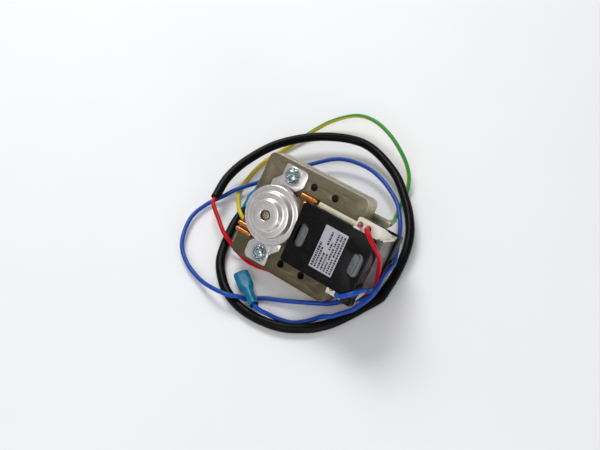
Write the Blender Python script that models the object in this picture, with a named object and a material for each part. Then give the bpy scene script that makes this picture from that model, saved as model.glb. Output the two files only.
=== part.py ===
"""Open-frame shaded-pole fan motor with its leads, lying on a table.

The motor is drawn in its own frame and then leaned as one:
X runs from the shaft towards the coil, Y across the two arms of the
lamination stack, Z along the shaft. Z is 0 on the front face of the stack.
The leads are drawn in world coordinates, with the table at height 0.
"""

import math

import bmesh
import bpy
from mathutils import Matrix, Vector


def mm(value):
    """Millimetres to metres."""
    return value * 0.001


# Fits
GAP = mm(0.3)
AIR_GAP = mm(0.4)
LABEL_GAP = mm(0.05)

# Cup of the bearing brackets and the washers beside it
CUP_RADIUS = mm(16.5)
WASHER_RADIUS = mm(4.3)
WASHER_TO_CUP = mm(2.3)
SCREW_Y = CUP_RADIUS + WASHER_RADIUS + WASHER_TO_CUP

# Lamination stack
STACK_DEPTH = mm(14.0)
STACK_CORNER = mm(3.5)
SCREW_TO_EDGE = mm(7.4)
HALF_WIDTH = SCREW_Y + SCREW_TO_EDGE
WINDOW_HALF = mm(16.0)
WINDOW_LEFT = CUP_RADIUS + mm(0.6)
STACK_LEFT = -(WINDOW_LEFT + mm(0.9))
MOUNT_HOLE = mm(4.2)
MOUNT_HOLES_X = (mm(13.6), mm(27.2))

# Rotor and shaft
ROTOR_RADIUS = mm(13.0)
ROTOR_BARS = 12
BAR_RADIUS = mm(0.9)
BAR_CIRCLE = mm(11.2)
END_RING_HEIGHT = mm(2.0)
END_RING_INNER = mm(6.5)
END_RING_OUTER = mm(12.3)
SHAFT_RADIUS = mm(2.0)
SHAFT_CHAMFER = mm(0.4)
SHAFT_FRONT = mm(13.3)
THRUST_WASHER = mm(0.8)
THRUST_WASHER_RADIUS = mm(4.2)

# Shading rings
RING_BAR = mm(2.0)
RING_OUTER_LEG = WINDOW_LEFT + GAP + RING_BAR / 2
LARGE_RING_LEG = mm(9.9)
LARGE_RING_Y = WINDOW_HALF + mm(1.0)
SMALL_RING_LEG = mm(12.9)
SMALL_RING_Y = WINDOW_HALF - mm(2.6)

# Core bar, bobbin and winding
COVER_WALL = mm(1.4)
COVER_TO_WINDOW = mm(1.0)
TAPE_HALF_LENGTH = mm(20.6)
CORE_X = WINDOW_LEFT + COVER_TO_WINDOW + COVER_WALL + GAP + TAPE_HALF_LENGTH
STACK_RIGHT = CORE_X + mm(5.2)
CORE_WIDTH = mm(10.8)
KEY_WIDTH = mm(6.0)
KEY_DEPTH = mm(1.2)
BOBBIN_WALL = mm(1.2)
FLANGE = mm(1.4)
TAPE = mm(0.8)
TAPE_FRONT = mm(12.2)
TAPE_CORNER = mm(4.0)
BLOCK_LEFT = STACK_RIGHT + mm(0.6)
BLOCK_RIGHT = CORE_X + TAPE_HALF_LENGTH - mm(0.5)
BLOCK_FRONT = mm(7.0)
BLOCK_SHOULDER = mm(3.0)
BLOCK_REAR = mm(-12.5)
BLOCK_Y = WINDOW_HALF + mm(5.8)
BLOCK_REAR_Y = WINDOW_HALF + mm(1.5)
LEAD_HOLE_X = CORE_X + mm(13.1)
STUB_HOLE_X = CORE_X + mm(8.2)
LEAD_HOLE_Y = WINDOW_HALF + mm(2.6)
LEAD_HOLE_DEPTH = mm(5.0)

# Coil covers, clips and label
COVER_FRONT = mm(14.2)
COVER_HALF_WIDTH = WINDOW_HALF + mm(0.9)
COVER_SKIRT_Z = mm(4.0)
COVER_LIP_Z = mm(8.5)
COVER_LIP_WALL = mm(0.9)
COVER_EDGE = mm(1.5)
REAR_SKIRT_Z = mm(-19.0)
SLOT_OFFSET = TAPE_HALF_LENGTH - mm(3.6)
SLOT_WIDTH = mm(6.4)
SLOT_LENGTH = mm(13.0)
CLIP_WIDTH = mm(3.0)
CLIP_RISE = mm(1.6)
LABEL_X = CORE_X + mm(0.9)
LABEL_WIDTH = mm(13.8)
LABEL_LENGTH = mm(23.6)
LABEL_THICKNESS = mm(0.15)

# Bearing brackets
SHEET = mm(1.2)
CUP_HEIGHT = mm(7.0)
STEP_RADIUS = mm(12.5)
STEP_HEIGHT = mm(10.6)
BOSS_RADIUS = mm(8.4)
BOSS_HEIGHT = mm(14.0)
BOSS_HOLE = mm(3.0)
CUP_LIP_Z = mm(2.9)
EAR_TOP = SCREW_Y + mm(5.6)
EAR_LEFT = mm(-5.8)
EAR_RIGHT = mm(7.0)
EAR_FOOT_LEFT = mm(-10.2)
EAR_FOOT_RIGHT = mm(5.2)
EAR_SHOULDER = mm(8.5)
RISER_ANGLE = math.radians(28)

# Bearings, retainers and felts
BEARING_RADIUS = mm(4.4)
BEARING_CENTRE = mm(8.6)
BEARING_HALF_LENGTH = mm(3.3)
RETAINER_THICKNESS = mm(0.4)
RETAINER_TOP = mm(9.1)
FELT_BOTTOM = mm(9.5)

# Screws, star washers and nuts
SCREW_RADIUS = mm(1.9)
SCREW_TAIL = mm(1.0)
HEAD_RADIUS = mm(3.6)
HEAD_HEIGHT = mm(2.3)
WASHER_THICKNESS = mm(0.6)
NUT_FLATS = mm(7.0)
NUT_THICKNESS = mm(1.8)

# Earth tag
TAG_THICKNESS = mm(0.8)
TAG_WIDTH = mm(4.4)
TAG_Y = WINDOW_HALF + mm(5.4)
RIVET_X = CORE_X - mm(5.4)
RIVET_RADIUS = mm(1.2)
TAG_LEFT = RIVET_X - mm(2.5)
TAG_BARREL_X = CORE_X + mm(13.5)
TAG_RIGHT = TAG_BARREL_X + mm(2.1)
TAG_BARREL_LENGTH = mm(5.0)

# Leads and sleeve
WIRE = mm(2.5)
SLEEVE = mm(5.4)
STUB = mm(2.0)
CRIMP_WALL = mm(0.35)

# Insulated receptacles
SPADE_LENGTH = mm(25.0)
SPADE_MOUTH_WIDTH = mm(8.8)
SPADE_MOUTH_HEIGHT = mm(5.8)
SPADE_BARREL = mm(5.6)
SPADE_WALL = mm(0.55)
TONGUE_WIDTH = mm(6.3)
TONGUE_HEIGHT = mm(2.6)
TONGUE_SHEET = mm(0.5)

# Rest: the lower rear edge of the stack, the lower edge of the rear cover
# and the rim of the shaft's tip all lie on the table at this lean.
LEAN = math.radians(43.5)
MOTOR_X = mm(-21.65)
MOTOR_Y = mm(-4.82)

FRONT = 0.0
REAR = -STACK_DEPTH
BORE = ROTOR_RADIUS + AIR_GAP
REST_HEIGHT = HALF_WIDTH * math.sin(LEAN) + STACK_DEPTH * math.cos(LEAN)
TIP_RADIUS = SHAFT_RADIUS - SHAFT_CHAMFER
SHAFT_REAR = -(REST_HEIGHT - TIP_RADIUS * math.sin(LEAN)) / math.cos(LEAN)
COVER_REAR = -(REST_HEIGHT - COVER_HALF_WIDTH * math.sin(LEAN)) / math.cos(LEAN)
TAPE_REAR = COVER_REAR + COVER_WALL + GAP


# Scene and materials


def clear_scene():
    for obj in list(bpy.data.objects):
        bpy.data.objects.remove(obj, do_unlink=True)


def make_material(name, colour, roughness, metallic=0.0, alpha=1.0):
    material = bpy.data.materials.new(name)
    material.use_nodes = True
    shader = material.node_tree.nodes["Principled BSDF"]
    shader.inputs["Base Color"].default_value = (*colour, 1.0)
    shader.inputs["Roughness"].default_value = roughness
    shader.inputs["Metallic"].default_value = metallic
    shader.inputs["Alpha"].default_value = alpha
    return material


def add_object(name, data, material, parent):
    obj = bpy.data.objects.new(name, data)
    bpy.context.scene.collection.objects.link(obj)
    obj.parent = parent
    if material:
        obj.data.materials.append(material)
    return obj


def add_empty(name, parent=None):
    empty = bpy.data.objects.new(name, None)
    empty.empty_display_size = mm(10)
    bpy.context.scene.collection.objects.link(empty)
    empty.parent = parent
    return empty


def mesh_object(name, bm, material, parent, sharp=35):
    """Turns a bmesh into an object with outward faces and crease-aware smoothing."""
    bmesh.ops.remove_doubles(bm, verts=bm.verts, dist=mm(0.001))
    bmesh.ops.recalc_face_normals(bm, faces=bm.faces)
    mesh = bpy.data.meshes.new(name)
    bm.to_mesh(mesh)
    bm.free()
    mesh.shade_smooth()
    mesh.set_sharp_from_angle(angle=math.radians(sharp))
    return add_object(name, mesh, material, parent)


def add_boolean(obj, operation, tool):
    """Adds an exact Boolean whose tool stays in the file as a hidden guide."""
    tool.hide_render = True
    tool.display_type = "WIRE"
    modifier = obj.modifiers.new(f"{operation.lower()}_{tool.name}", "BOOLEAN")
    modifier.operation = operation
    modifier.solver = "EXACT"
    modifier.object = tool


# Shape tools


def rectangle(x0, x1, y0, y1):
    return [(x0, y0), (x1, y0), (x1, y1), (x0, y1)]


def circle(cx, cy, radius, steps=16):
    turns = [2 * math.pi * i / steps for i in range(steps)]
    return [(cx + radius * math.cos(a), cy + radius * math.sin(a)) for a in turns]


def polygon(cx, cy, across_flats, sides):
    """Regular polygon with a corner on X, so that a hexagon's flats face along Y."""
    radius = across_flats / 2 / math.cos(math.pi / sides)
    return circle(cx, cy, radius, sides)


def slot_outline(cx, cy, width, length, steps=6):
    """Oblong with round ends, long way along Y."""
    radius = width / 2
    run = length / 2 - radius
    points = []
    for centre_y, start in ((cy + run, 0.0), (cy - run, math.pi)):
        for i in range(steps + 1):
            a = start + math.pi * i / steps
            points.append((cx + radius * math.cos(a), centre_y + radius * math.sin(a)))
    return points


def round_corners(points, radius, steps=4):
    """Rounds every corner of an outline; a radius per corner or one for all."""
    radii = [radius] * len(points) if isinstance(radius, float) else radius
    rounded = []
    for i, corner in enumerate(points):
        here = Vector(corner)
        if radii[i] <= 0:
            rounded.append(corner)
            continue
        before = Vector(points[i - 1]) - here
        after = Vector(points[(i + 1) % len(points)]) - here
        cut = radii[i] / math.tan(before.angle(after) / 2)
        start = here + before.normalized() * cut
        end = here + after.normalized() * cut
        for step in range(steps + 1):
            t = step / steps
            point = start.lerp(here, t).lerp(here.lerp(end, t), t)
            rounded.append(tuple(point))
    return rounded


def prism(name, outline, z0, z1, material, parent, holes=(), axis="Z"):
    """Solid between two heights with the outline's section and any through holes.

    On axis Y the outline's points are X and Z, and z0 and z1 are heights in Y.
    """
    bm = bmesh.new()
    for loop in (outline, *holes):
        verts = [bm.verts.new((x, y, 0.0)) for x, y in loop]
        for i, vert in enumerate(verts):
            bm.edges.new((vert, verts[(i + 1) % len(verts)]))
    bmesh.ops.triangle_fill(bm, use_beauty=True, edges=bm.edges)
    faces = list(bm.faces)
    result = bmesh.ops.extrude_face_region(bm, geom=faces, use_keep_orig=True)
    top = [g for g in result["geom"] if isinstance(g, bmesh.types.BMVert)]
    bmesh.ops.translate(bm, verts=top, vec=(0, 0, z1 - z0))
    bmesh.ops.translate(bm, verts=bm.verts, vec=(0, 0, z0))
    if axis == "Y":
        turn = Matrix(((1, 0, 0, 0), (0, 0, 1, 0), (0, 1, 0, 0), (0, 0, 0, 1)))
        bmesh.ops.transform(bm, matrix=turn, verts=bm.verts)
    return mesh_object(name, bm, material, parent)


def box(name, x, y, z, material, parent):
    return prism(name, rectangle(*x, *y), *z, material, parent)


def lathe(name, profile, material, parent, segments=32, mirror=False):
    """Turns a closed (radius, height) profile about Z.

    Points at radius 0 become poles. With mirror the height runs the other way
    from the rear face of the stack.
    """
    bm = bmesh.new()
    rings = []
    for radius, height in profile:
        z = REAR - height if mirror else height
        if radius < mm(0.001):
            rings.append([bm.verts.new((0, 0, z))] * segments)
        else:
            loop = circle(0, 0, radius, segments)
            rings.append([bm.verts.new((x, y, z)) for x, y in loop])
    for i, ring in enumerate(rings):
        following = rings[(i + 1) % len(rings)]
        for k in range(segments):
            corners = [ring[k], ring[(k + 1) % segments]]
            corners += [following[(k + 1) % segments], following[k]]
            unique = list(dict.fromkeys(corners))
            if len(unique) > 2:
                bm.faces.new(unique)
    return mesh_object(name, bm, material, parent)


def loft(name, sections, inner, material, parent):
    """Tube along X through sections of (x, half width, half height, squareness).

    Squareness is the power of the rounded section: 1 is an ellipse, less is squarer.
    """
    bm = bmesh.new()
    steps = 16
    rings = []
    for x, half_width, half_height, power in [*sections, *reversed(inner)]:
        ring = []
        for i in range(steps):
            a = 2 * math.pi * i / steps
            c, s = math.cos(a), math.sin(a)
            y = half_width * math.copysign(abs(c) ** power, c)
            z = half_height * math.copysign(abs(s) ** power, s)
            ring.append(bm.verts.new((x, y, z)))
        rings.append(ring)
    for i, ring in enumerate(rings):
        following = rings[(i + 1) % len(rings)]
        for k in range(steps):
            j = (k + 1) % steps
            bm.faces.new((ring[k], ring[j], following[j], following[k]))
    return mesh_object(name, bm, material, parent)


def smooth_path(route, spacing):
    """Evenly spaced points on a smooth curve through the route's points."""
    points = [Vector(p) for p in route]
    ends = [points[0] * 2 - points[1], *points, points[-1] * 2 - points[-2]]
    fine = []
    for a, b, c, d in zip(ends, ends[1:], ends[2:], ends[3:]):
        for step in range(24):
            t = step / 24
            fine.append(
                0.5
                * (
                    2 * b
                    + (c - a) * t
                    + (2 * a - 5 * b + 4 * c - d) * t * t
                    + (3 * b - a - 3 * c + d) * t**3
                )
            )
    fine.append(points[-1])
    lengths = [0.0]
    for a, b in zip(fine, fine[1:]):
        lengths.append(lengths[-1] + (b - a).length)
    count = max(2, round(lengths[-1] / spacing))
    even = []
    k = 0
    for i in range(count + 1):
        target = lengths[-1] * i / count
        while k < len(fine) - 2 and lengths[k + 1] < target:
            k += 1
        span = lengths[k + 1] - lengths[k]
        even.append(fine[k].lerp(fine[k + 1], (target - lengths[k]) / span))
    return even


def cord(name, route, diameter, material, parent=None, spacing=3.0):
    """Round cord along a smooth curve through route points in millimetres."""
    path = smooth_path([Vector(p) * mm(1) for p in route], diameter * spacing)
    curve = bpy.data.curves.new(name, "CURVE")
    curve.dimensions = "3D"
    curve.bevel_depth = diameter / 2
    curve.bevel_resolution = 2 if diameter < mm(4) else 3
    curve.use_fill_caps = True
    spline = curve.splines.new("POLY")
    spline.points.add(len(path) - 1)
    for point, place in zip(spline.points, path):
        point.co = (*place, 1.0)
    return add_object(name, curve, material, parent)


# Stator


def stack_outline():
    """C-shaped lamination, with key grooves and notches for the shading rings."""
    groove = (CORE_X - KEY_WIDTH / 2, CORE_X + KEY_WIDTH / 2)
    notch = RING_OUTER_LEG - RING_BAR / 2 - GAP
    notch_far = RING_OUTER_LEG + RING_BAR / 2 + GAP
    ring_top = LARGE_RING_Y + RING_BAR / 2 + GAP
    ring_low = SMALL_RING_Y - RING_BAR / 2 - GAP
    w, k = WINDOW_HALF, WINDOW_HALF + KEY_DEPTH
    points = [
        (STACK_LEFT, -HALF_WIDTH, STACK_CORNER),
        (STACK_RIGHT, -HALF_WIDTH, STACK_CORNER),
        (STACK_RIGHT, -w, 0),
        (groove[1], -w, 0),
        (groove[1], -k, 0),
        (groove[0], -k, 0),
        (groove[0], -w, 0),
        (WINDOW_LEFT, -w, 0),
        (WINDOW_LEFT, w, 0),
        (notch, w, 0),
        (notch, ring_top, 0),
        (notch_far, ring_top, 0),
        (notch_far, w, 0),
        (groove[0], w, 0),
        (groove[0], k, 0),
        (groove[1], k, 0),
        (groove[1], w, 0),
        (STACK_RIGHT, w, 0),
        (STACK_RIGHT, HALF_WIDTH, STACK_CORNER),
        (STACK_LEFT, HALF_WIDTH, STACK_CORNER),
        (STACK_LEFT, -ring_low, 0),
        (-notch, -ring_low, 0),
        (-notch, -ring_top, 0),
        (STACK_LEFT, -ring_top, 0),
    ]
    outline = [p for i, p in enumerate(points) if p[:2] != points[i - 1][:2]]
    return round_corners([p[:2] for p in outline], [p[2] for p in outline])


def ring_leg_hole(x, y):
    half = RING_BAR / 2 + GAP
    return rectangle(x - half, x + half, y - half, y + half)


def make_stator(steel, copper, frame):
    holes = [circle(0, 0, BORE, 40)]
    for side in (-1, 1):
        holes.append(circle(0, side * SCREW_Y, SCREW_RADIUS + GAP))
        for x in MOUNT_HOLES_X:
            holes.append(circle(x, side * SCREW_Y, MOUNT_HOLE / 2))
        holes.append(ring_leg_hole(side * LARGE_RING_LEG, side * LARGE_RING_Y))
        holes.append(ring_leg_hole(side * SMALL_RING_LEG, side * SMALL_RING_Y))
    holes.append(circle(RIVET_X, TAG_Y, RIVET_RADIUS + GAP, 12))
    prism("stator_stack", stack_outline(), REAR, FRONT, steel, frame, holes)

    half = CORE_WIDTH / 2
    key = KEY_WIDTH / 2 - GAP
    end = WINDOW_HALF - GAP
    tip = end + KEY_DEPTH
    bar = [
        (-half, -end), (-key, -end), (-key, -tip), (key, -tip), (key, -end), (half, -end),
        (half, end), (key, end), (key, tip), (-key, tip), (-key, end), (-half, end),
    ]
    bar = [(CORE_X + x, y) for x, y in bar]
    prism("coil_core_bar", bar, REAR, FRONT, steel, frame)

    for side, label in ((1, "upper"), (-1, "lower")):
        make_ring(f"shading_ring_{label}_large", side, LARGE_RING_LEG, LARGE_RING_Y, copper, frame)
        make_ring(f"shading_ring_{label}_small", side, SMALL_RING_LEG, SMALL_RING_Y, copper, frame)


def make_ring(name, side, leg, y, copper, frame):
    """Rectangular copper loop round the shaded part of one pole."""
    half = RING_BAR / 2
    inner = (leg + half, RING_OUTER_LEG - half, REAR - GAP, FRONT + GAP)
    outer = (leg - half, RING_OUTER_LEG + half, inner[2] - RING_BAR, inner[3] + RING_BAR)
    hole = [(side * x, z) for x, z in rectangle(*inner)]
    rim = round_corners(rectangle(*outer), half)
    rim = [(side * x, z) for x, z in rim]
    prism(name, rim, side * y - half, side * y + half, copper, frame, [hole], axis="Y")


# Bobbin, winding and covers


def block_section(side, root):
    """End view of a terminal block: its outer side leans in towards the rear."""
    points = [
        (root, BLOCK_REAR),
        (BLOCK_REAR_Y, BLOCK_REAR),
        (BLOCK_Y, BLOCK_SHOULDER),
        (BLOCK_Y, BLOCK_FRONT),
        (root, BLOCK_FRONT),
    ]
    return [(side * y, z) for y, z in points]


def make_bobbin(nylon, frame):
    half = CORE_WIDTH / 2 + GAP
    hole = rectangle(CORE_X - half, CORE_X + half, REAR - GAP, FRONT + GAP)
    wall = BOBBIN_WALL
    shell = rectangle(
        CORE_X - half - wall, CORE_X + half + wall, REAR - GAP - wall, FRONT + GAP + wall
    )
    end = WINDOW_HALF - GAP
    bobbin = prism("bobbin", shell, -end, end, nylon, frame, [hole], axis="Y")
    plate = rectangle(
        CORE_X - TAPE_HALF_LENGTH, CORE_X + TAPE_HALF_LENGTH, TAPE_REAR, TAPE_FRONT
    )
    plate = round_corners(plate, TAPE_CORNER / 2)
    for side, label in ((1, "upper"), (-1, "lower")):
        y = sorted((side * end, side * (end - FLANGE)))
        flange = prism(f"flange_{label}", plate, *y, None, frame, [hole], axis="Y")
        add_boolean(bobbin, "UNION", flange)
        section = block_section(side, end - FLANGE / 2)
        block = along_x(f"block_{label}", section, BLOCK_LEFT, BLOCK_RIGHT, None, frame)
        add_boolean(bobbin, "UNION", block)
        for x in (LEAD_HOLE_X, STUB_HOLE_X):
            outline = circle(x, side * LEAD_HOLE_Y, WIRE / 2 + GAP, 12)
            z = (BLOCK_FRONT - LEAD_HOLE_DEPTH, BLOCK_FRONT + GAP)
            name = f"hole_{label}_{round(x * 1000)}"
            add_boolean(bobbin, "DIFFERENCE", prism(name, outline, *z, None, frame))


def coil_section(inset):
    outline = rectangle(
        CORE_X - TAPE_HALF_LENGTH + inset,
        CORE_X + TAPE_HALF_LENGTH - inset,
        TAPE_REAR + inset,
        TAPE_FRONT - inset,
    )
    return round_corners(outline, TAPE_CORNER - inset)


def make_winding(wire, tape, frame):
    reach = WINDOW_HALF - GAP - FLANGE - GAP
    half = CORE_WIDTH / 2 + GAP + BOBBIN_WALL + GAP
    wall = GAP + BOBBIN_WALL + GAP
    hole = rectangle(CORE_X - half, CORE_X + half, REAR - wall, FRONT + wall)
    prism("winding", coil_section(TAPE + GAP), -reach, reach, wire, frame, [hole], axis="Y")
    band = coil_section(TAPE)
    prism("winding_tape", coil_section(0.0), -reach, reach, tape, frame, [band], axis="Y")


def shell_section(outer_z, skirt_z):
    """Section of a cover across the coil: plate with a skirt at both ends."""
    direction = 1 if outer_z > skirt_z else -1
    reach = TAPE_HALF_LENGTH + GAP + COVER_WALL
    inner = reach - COVER_WALL
    plate = outer_z - direction * COVER_WALL
    points = [
        (-reach, skirt_z, 0), (-reach, outer_z, COVER_EDGE),
        (reach, outer_z, COVER_EDGE), (reach, skirt_z, 0),
        (inner, skirt_z, 0), (inner, plate, 0), (-inner, plate, 0), (-inner, skirt_z, 0),
    ]
    return round_corners([(CORE_X + x, z) for x, z, _ in points], [p[2] for p in points])


def make_covers(black, grey, paper, frame):
    w = COVER_HALF_WIDTH
    body = shell_section(COVER_FRONT, COVER_SKIRT_Z)
    cover = prism("coil_cover_front", body, -w, w, black, frame, axis="Y")
    flange_y = WINDOW_HALF
    reach = TAPE_HALF_LENGTH + GAP + COVER_WALL + GAP
    for side, label in ((1, "upper"), (-1, "lower")):
        # The end skirts stop short of the arms, so that they drop into the window.
        y = sorted((side * flange_y, side * (w + GAP)))
        z = (COVER_SKIRT_Z - GAP, COVER_LIP_Z)
        x = (CORE_X - reach, CORE_X + reach)
        add_boolean(cover, "DIFFERENCE", box(f"skirt_cut_{label}", x, y, z, None, frame))
        x = (CORE_X - TAPE_HALF_LENGTH - COVER_WALL, BLOCK_LEFT - GAP)
        y = sorted((side * w, side * (w - COVER_LIP_WALL)))
        z = (COVER_LIP_Z, COVER_FRONT - COVER_WALL / 2)
        add_boolean(cover, "UNION", box(f"lip_{label}", x, y, z, None, frame))
    for side, label in ((-1, "left"), (1, "right")):
        x = CORE_X + side * SLOT_OFFSET
        outline = slot_outline(x, 0, SLOT_WIDTH, SLOT_LENGTH)
        z = (TAPE_FRONT, COVER_FRONT + GAP)
        add_boolean(cover, "DIFFERENCE", prism(f"slot_{label}", outline, *z, None, frame))
        x -= side * (SLOT_WIDTH / 2 - GAP - CLIP_WIDTH / 2)
        outline = slot_outline(x, 0, CLIP_WIDTH, SLOT_LENGTH - 2 * GAP - SLOT_WIDTH / 2)
        z = (TAPE_FRONT + GAP, TAPE_FRONT + GAP + CLIP_RISE)
        prism(f"cover_clip_{label}", outline, *z, grey, frame)

    body = shell_section(COVER_REAR, REAR_SKIRT_Z)
    prism("coil_cover_rear", body, -w, w, black, frame, axis="Y")
    x0 = LABEL_X - LABEL_WIDTH / 2
    z0 = COVER_FRONT + LABEL_GAP
    x = (x0, x0 + LABEL_WIDTH)
    y = (-LABEL_LENGTH / 2, LABEL_LENGTH / 2)
    box("rating_label", x, y, (z0, z0 + LABEL_THICKNESS), paper, frame)


# Brackets and bearings


def cup_profile():
    """Section of the stepped cup, outside first and then back along the inside."""
    soft = mm(0.9)
    t = SHEET
    return [
        (BOSS_HOLE, BOSS_HEIGHT),
        (BOSS_RADIUS - soft, BOSS_HEIGHT),
        (BOSS_RADIUS - soft * 0.3, BOSS_HEIGHT - soft * 0.3),
        (BOSS_RADIUS, BOSS_HEIGHT - soft),
        (BOSS_RADIUS + soft * 0.5, STEP_HEIGHT + soft * 0.3),
        (BOSS_RADIUS + soft * 1.4, STEP_HEIGHT),
        (STEP_RADIUS - soft, STEP_HEIGHT),
        (STEP_RADIUS - soft * 0.3, STEP_HEIGHT - soft * 0.3),
        (STEP_RADIUS, STEP_HEIGHT - soft),
        (STEP_RADIUS + soft * 0.3, CUP_HEIGHT + soft * 0.3),
        (STEP_RADIUS + soft, CUP_HEIGHT),
        (CUP_RADIUS - soft, CUP_HEIGHT),
        (CUP_RADIUS - soft * 0.3, CUP_HEIGHT - soft * 0.3),
        (CUP_RADIUS, CUP_HEIGHT - soft),
        (CUP_RADIUS, CUP_LIP_Z),
        (CUP_RADIUS - t, CUP_LIP_Z),
        (CUP_RADIUS - t, CUP_HEIGHT - t),
        (STEP_RADIUS - t + soft, CUP_HEIGHT - t),
        (STEP_RADIUS - t, CUP_HEIGHT),
        (STEP_RADIUS - t, STEP_HEIGHT - t),
        (BOSS_RADIUS - t + soft, STEP_HEIGHT - t),
        (BOSS_RADIUS - t, STEP_HEIGHT),
        (BOSS_RADIUS - t, BOSS_HEIGHT - t),
        (BOSS_HOLE, BOSS_HEIGHT - t),
    ]


def ear_outline(side):
    """Ear round a screw; the lower one is the upper one turned half round the shaft."""
    root = CUP_RADIUS * math.cos(RISER_ANGLE) - SHEET
    outline = [
        (EAR_RIGHT, EAR_TOP, mm(1.0)),
        (EAR_LEFT, EAR_TOP, mm(1.0)),
        (EAR_LEFT, SCREW_Y - mm(1.7), mm(1.5)),
        (EAR_FOOT_LEFT, SCREW_Y - mm(7.9), 0),
        (-CUP_RADIUS * math.sin(RISER_ANGLE), root, 0),
        (EAR_FOOT_RIGHT, root, 0),
        (EAR_FOOT_RIGHT, SCREW_Y - mm(7.5), 0),
        (EAR_SHOULDER, SCREW_Y - mm(3.3), mm(1.0)),
    ]
    points = round_corners([p[:2] for p in outline], [p[2] for p in outline])
    return [(side * x, side * y) for x, y in points]


def riser_outline(side):
    """Arc of cup wall that comes down to the ear."""
    angles = [math.pi / 2 + RISER_ANGLE * (i / 4 - 1) for i in range(9)]
    outer = [(CUP_RADIUS * math.cos(a), CUP_RADIUS * math.sin(a)) for a in angles]
    inner = CUP_RADIUS - SHEET
    inner = [(inner * math.cos(a), inner * math.sin(a)) for a in reversed(angles)]
    return [(x, side * y) for x, y in outer + inner]


def make_bracket(end, metal, frame):
    rear = end == "rear"
    segments = 28 if rear else 40
    bracket = lathe(f"{end}_bracket", cup_profile(), metal, frame, segments, mirror=rear)

    def heights(low, high):
        return (REAR - high, REAR - low) if rear else (low, high)

    for side, label in ((1, "upper"), (-1, "lower")):
        z = heights(GAP, CUP_HEIGHT - SHEET / 2)
        riser = prism(f"{end}_riser_{label}", riser_outline(side), *z, None, frame)
        add_boolean(bracket, "UNION", riser)
        z = heights(GAP, GAP + SHEET)
        hole = circle(0, side * SCREW_Y, SCREW_RADIUS + GAP)
        ear = prism(f"{end}_ear_{label}", ear_outline(side), *z, None, frame, [hole])
        add_boolean(bracket, "UNION", ear)


def make_bearing(end, bronze, spring, felt, frame):
    rear = end == "rear"
    bore = SHAFT_RADIUS + GAP
    profile = [(bore, BEARING_CENTRE - BEARING_HALF_LENGTH)]
    for i in range(7):
        h = BEARING_HALF_LENGTH * (i / 3 - 1)
        radius = math.sqrt(BEARING_RADIUS**2 - h**2)
        profile.append((radius, BEARING_CENTRE + h))
    profile.append((bore, BEARING_CENTRE + BEARING_HALF_LENGTH))
    lathe(f"{end}_bearing", profile, bronze, frame, 16, mirror=rear)

    inner = BEARING_RADIUS + GAP
    low, high = RETAINER_TOP - RETAINER_THICKNESS, RETAINER_TOP
    outer = STEP_RADIUS - SHEET - GAP
    ring = [(inner, low), (outer, low), (outer, high), (inner, high)]
    lathe(f"{end}_bearing_retainer", ring, spring, frame, 20, mirror=rear)

    outer = BOSS_RADIUS - SHEET - GAP
    top = BOSS_HEIGHT - SHEET - GAP
    ring = [(inner, FELT_BOTTOM), (outer, FELT_BOTTOM), (outer, top), (inner, top)]
    lathe(f"{end}_oil_felt", ring, felt, frame, 20, mirror=rear)


# Rotor


def make_cage(places, aluminium, axis):
    """Cast cage: two end rings joined by the bars through the core."""
    bm = bmesh.new()
    steps = 30

    def ring_loop(radius, z):
        return [bm.verts.new((x, y, z)) for x, y in circle(0, 0, radius, steps)]

    def walls(a, b):
        for i, vert in enumerate(a):
            j = (i + 1) % len(a)
            bm.faces.new((vert, a[j], b[j], b[i]))

    bar_ends = []
    for face, cap in (
        (FRONT + GAP, FRONT + GAP + END_RING_HEIGHT),
        (REAR - GAP, REAR - GAP - END_RING_HEIGHT),
    ):
        outer, inner = ring_loop(END_RING_OUTER, face), ring_loop(END_RING_INNER, face)
        bars = []
        for x, y in places:
            loop = circle(x, y, BAR_RADIUS, 6)
            bars.append([bm.verts.new((px, py, face)) for px, py in loop])
        edges = []
        for loop in (outer, inner, *bars):
            edges += [bm.edges.new((v, loop[i - 1])) for i, v in enumerate(loop)]
        bmesh.ops.triangle_fill(bm, use_beauty=True, edges=edges)
        outer_cap, inner_cap = ring_loop(END_RING_OUTER, cap), ring_loop(END_RING_INNER, cap)
        walls(outer, outer_cap)
        walls(outer_cap, inner_cap)
        walls(inner_cap, inner)
        bar_ends.append(bars)
    for front_loop, rear_loop in zip(*bar_ends):
        walls(front_loop, rear_loop)
    mesh_object("rotor_cage", bm, aluminium, axis)


def make_rotor(steel, aluminium, bright, nylon, axis):
    bars = [2 * math.pi * (i + 0.5) / ROTOR_BARS for i in range(ROTOR_BARS)]
    places = [(BAR_CIRCLE * math.cos(a), BAR_CIRCLE * math.sin(a)) for a in bars]
    holes = [circle(0, 0, SHAFT_RADIUS + GAP)]
    holes += [circle(x, y, BAR_RADIUS + GAP, 6) for x, y in places]
    prism("rotor_core", circle(0, 0, ROTOR_RADIUS, 36), REAR, FRONT, steel, axis, holes)

    make_cage(places, aluminium, axis)

    profile = [
        (0.0, SHAFT_FRONT),
        (TIP_RADIUS, SHAFT_FRONT),
        (SHAFT_RADIUS, SHAFT_FRONT - SHAFT_CHAMFER),
        (SHAFT_RADIUS, SHAFT_REAR + SHAFT_CHAMFER),
        (TIP_RADIUS, SHAFT_REAR),
        (0.0, SHAFT_REAR),
    ]
    lathe("shaft", profile, bright, axis, 24)

    top = BEARING_CENTRE - BEARING_HALF_LENGTH - GAP
    low = top - THRUST_WASHER
    inner = SHAFT_RADIUS + GAP
    ring = [(inner, low), (THRUST_WASHER_RADIUS, low)]
    ring += [(THRUST_WASHER_RADIUS, top), (inner, top)]
    lathe("front_thrust_washer", ring, nylon, axis, 16)
    lathe("rear_thrust_washer", ring, nylon, axis, 16, mirror=True)


# Fasteners


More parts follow.
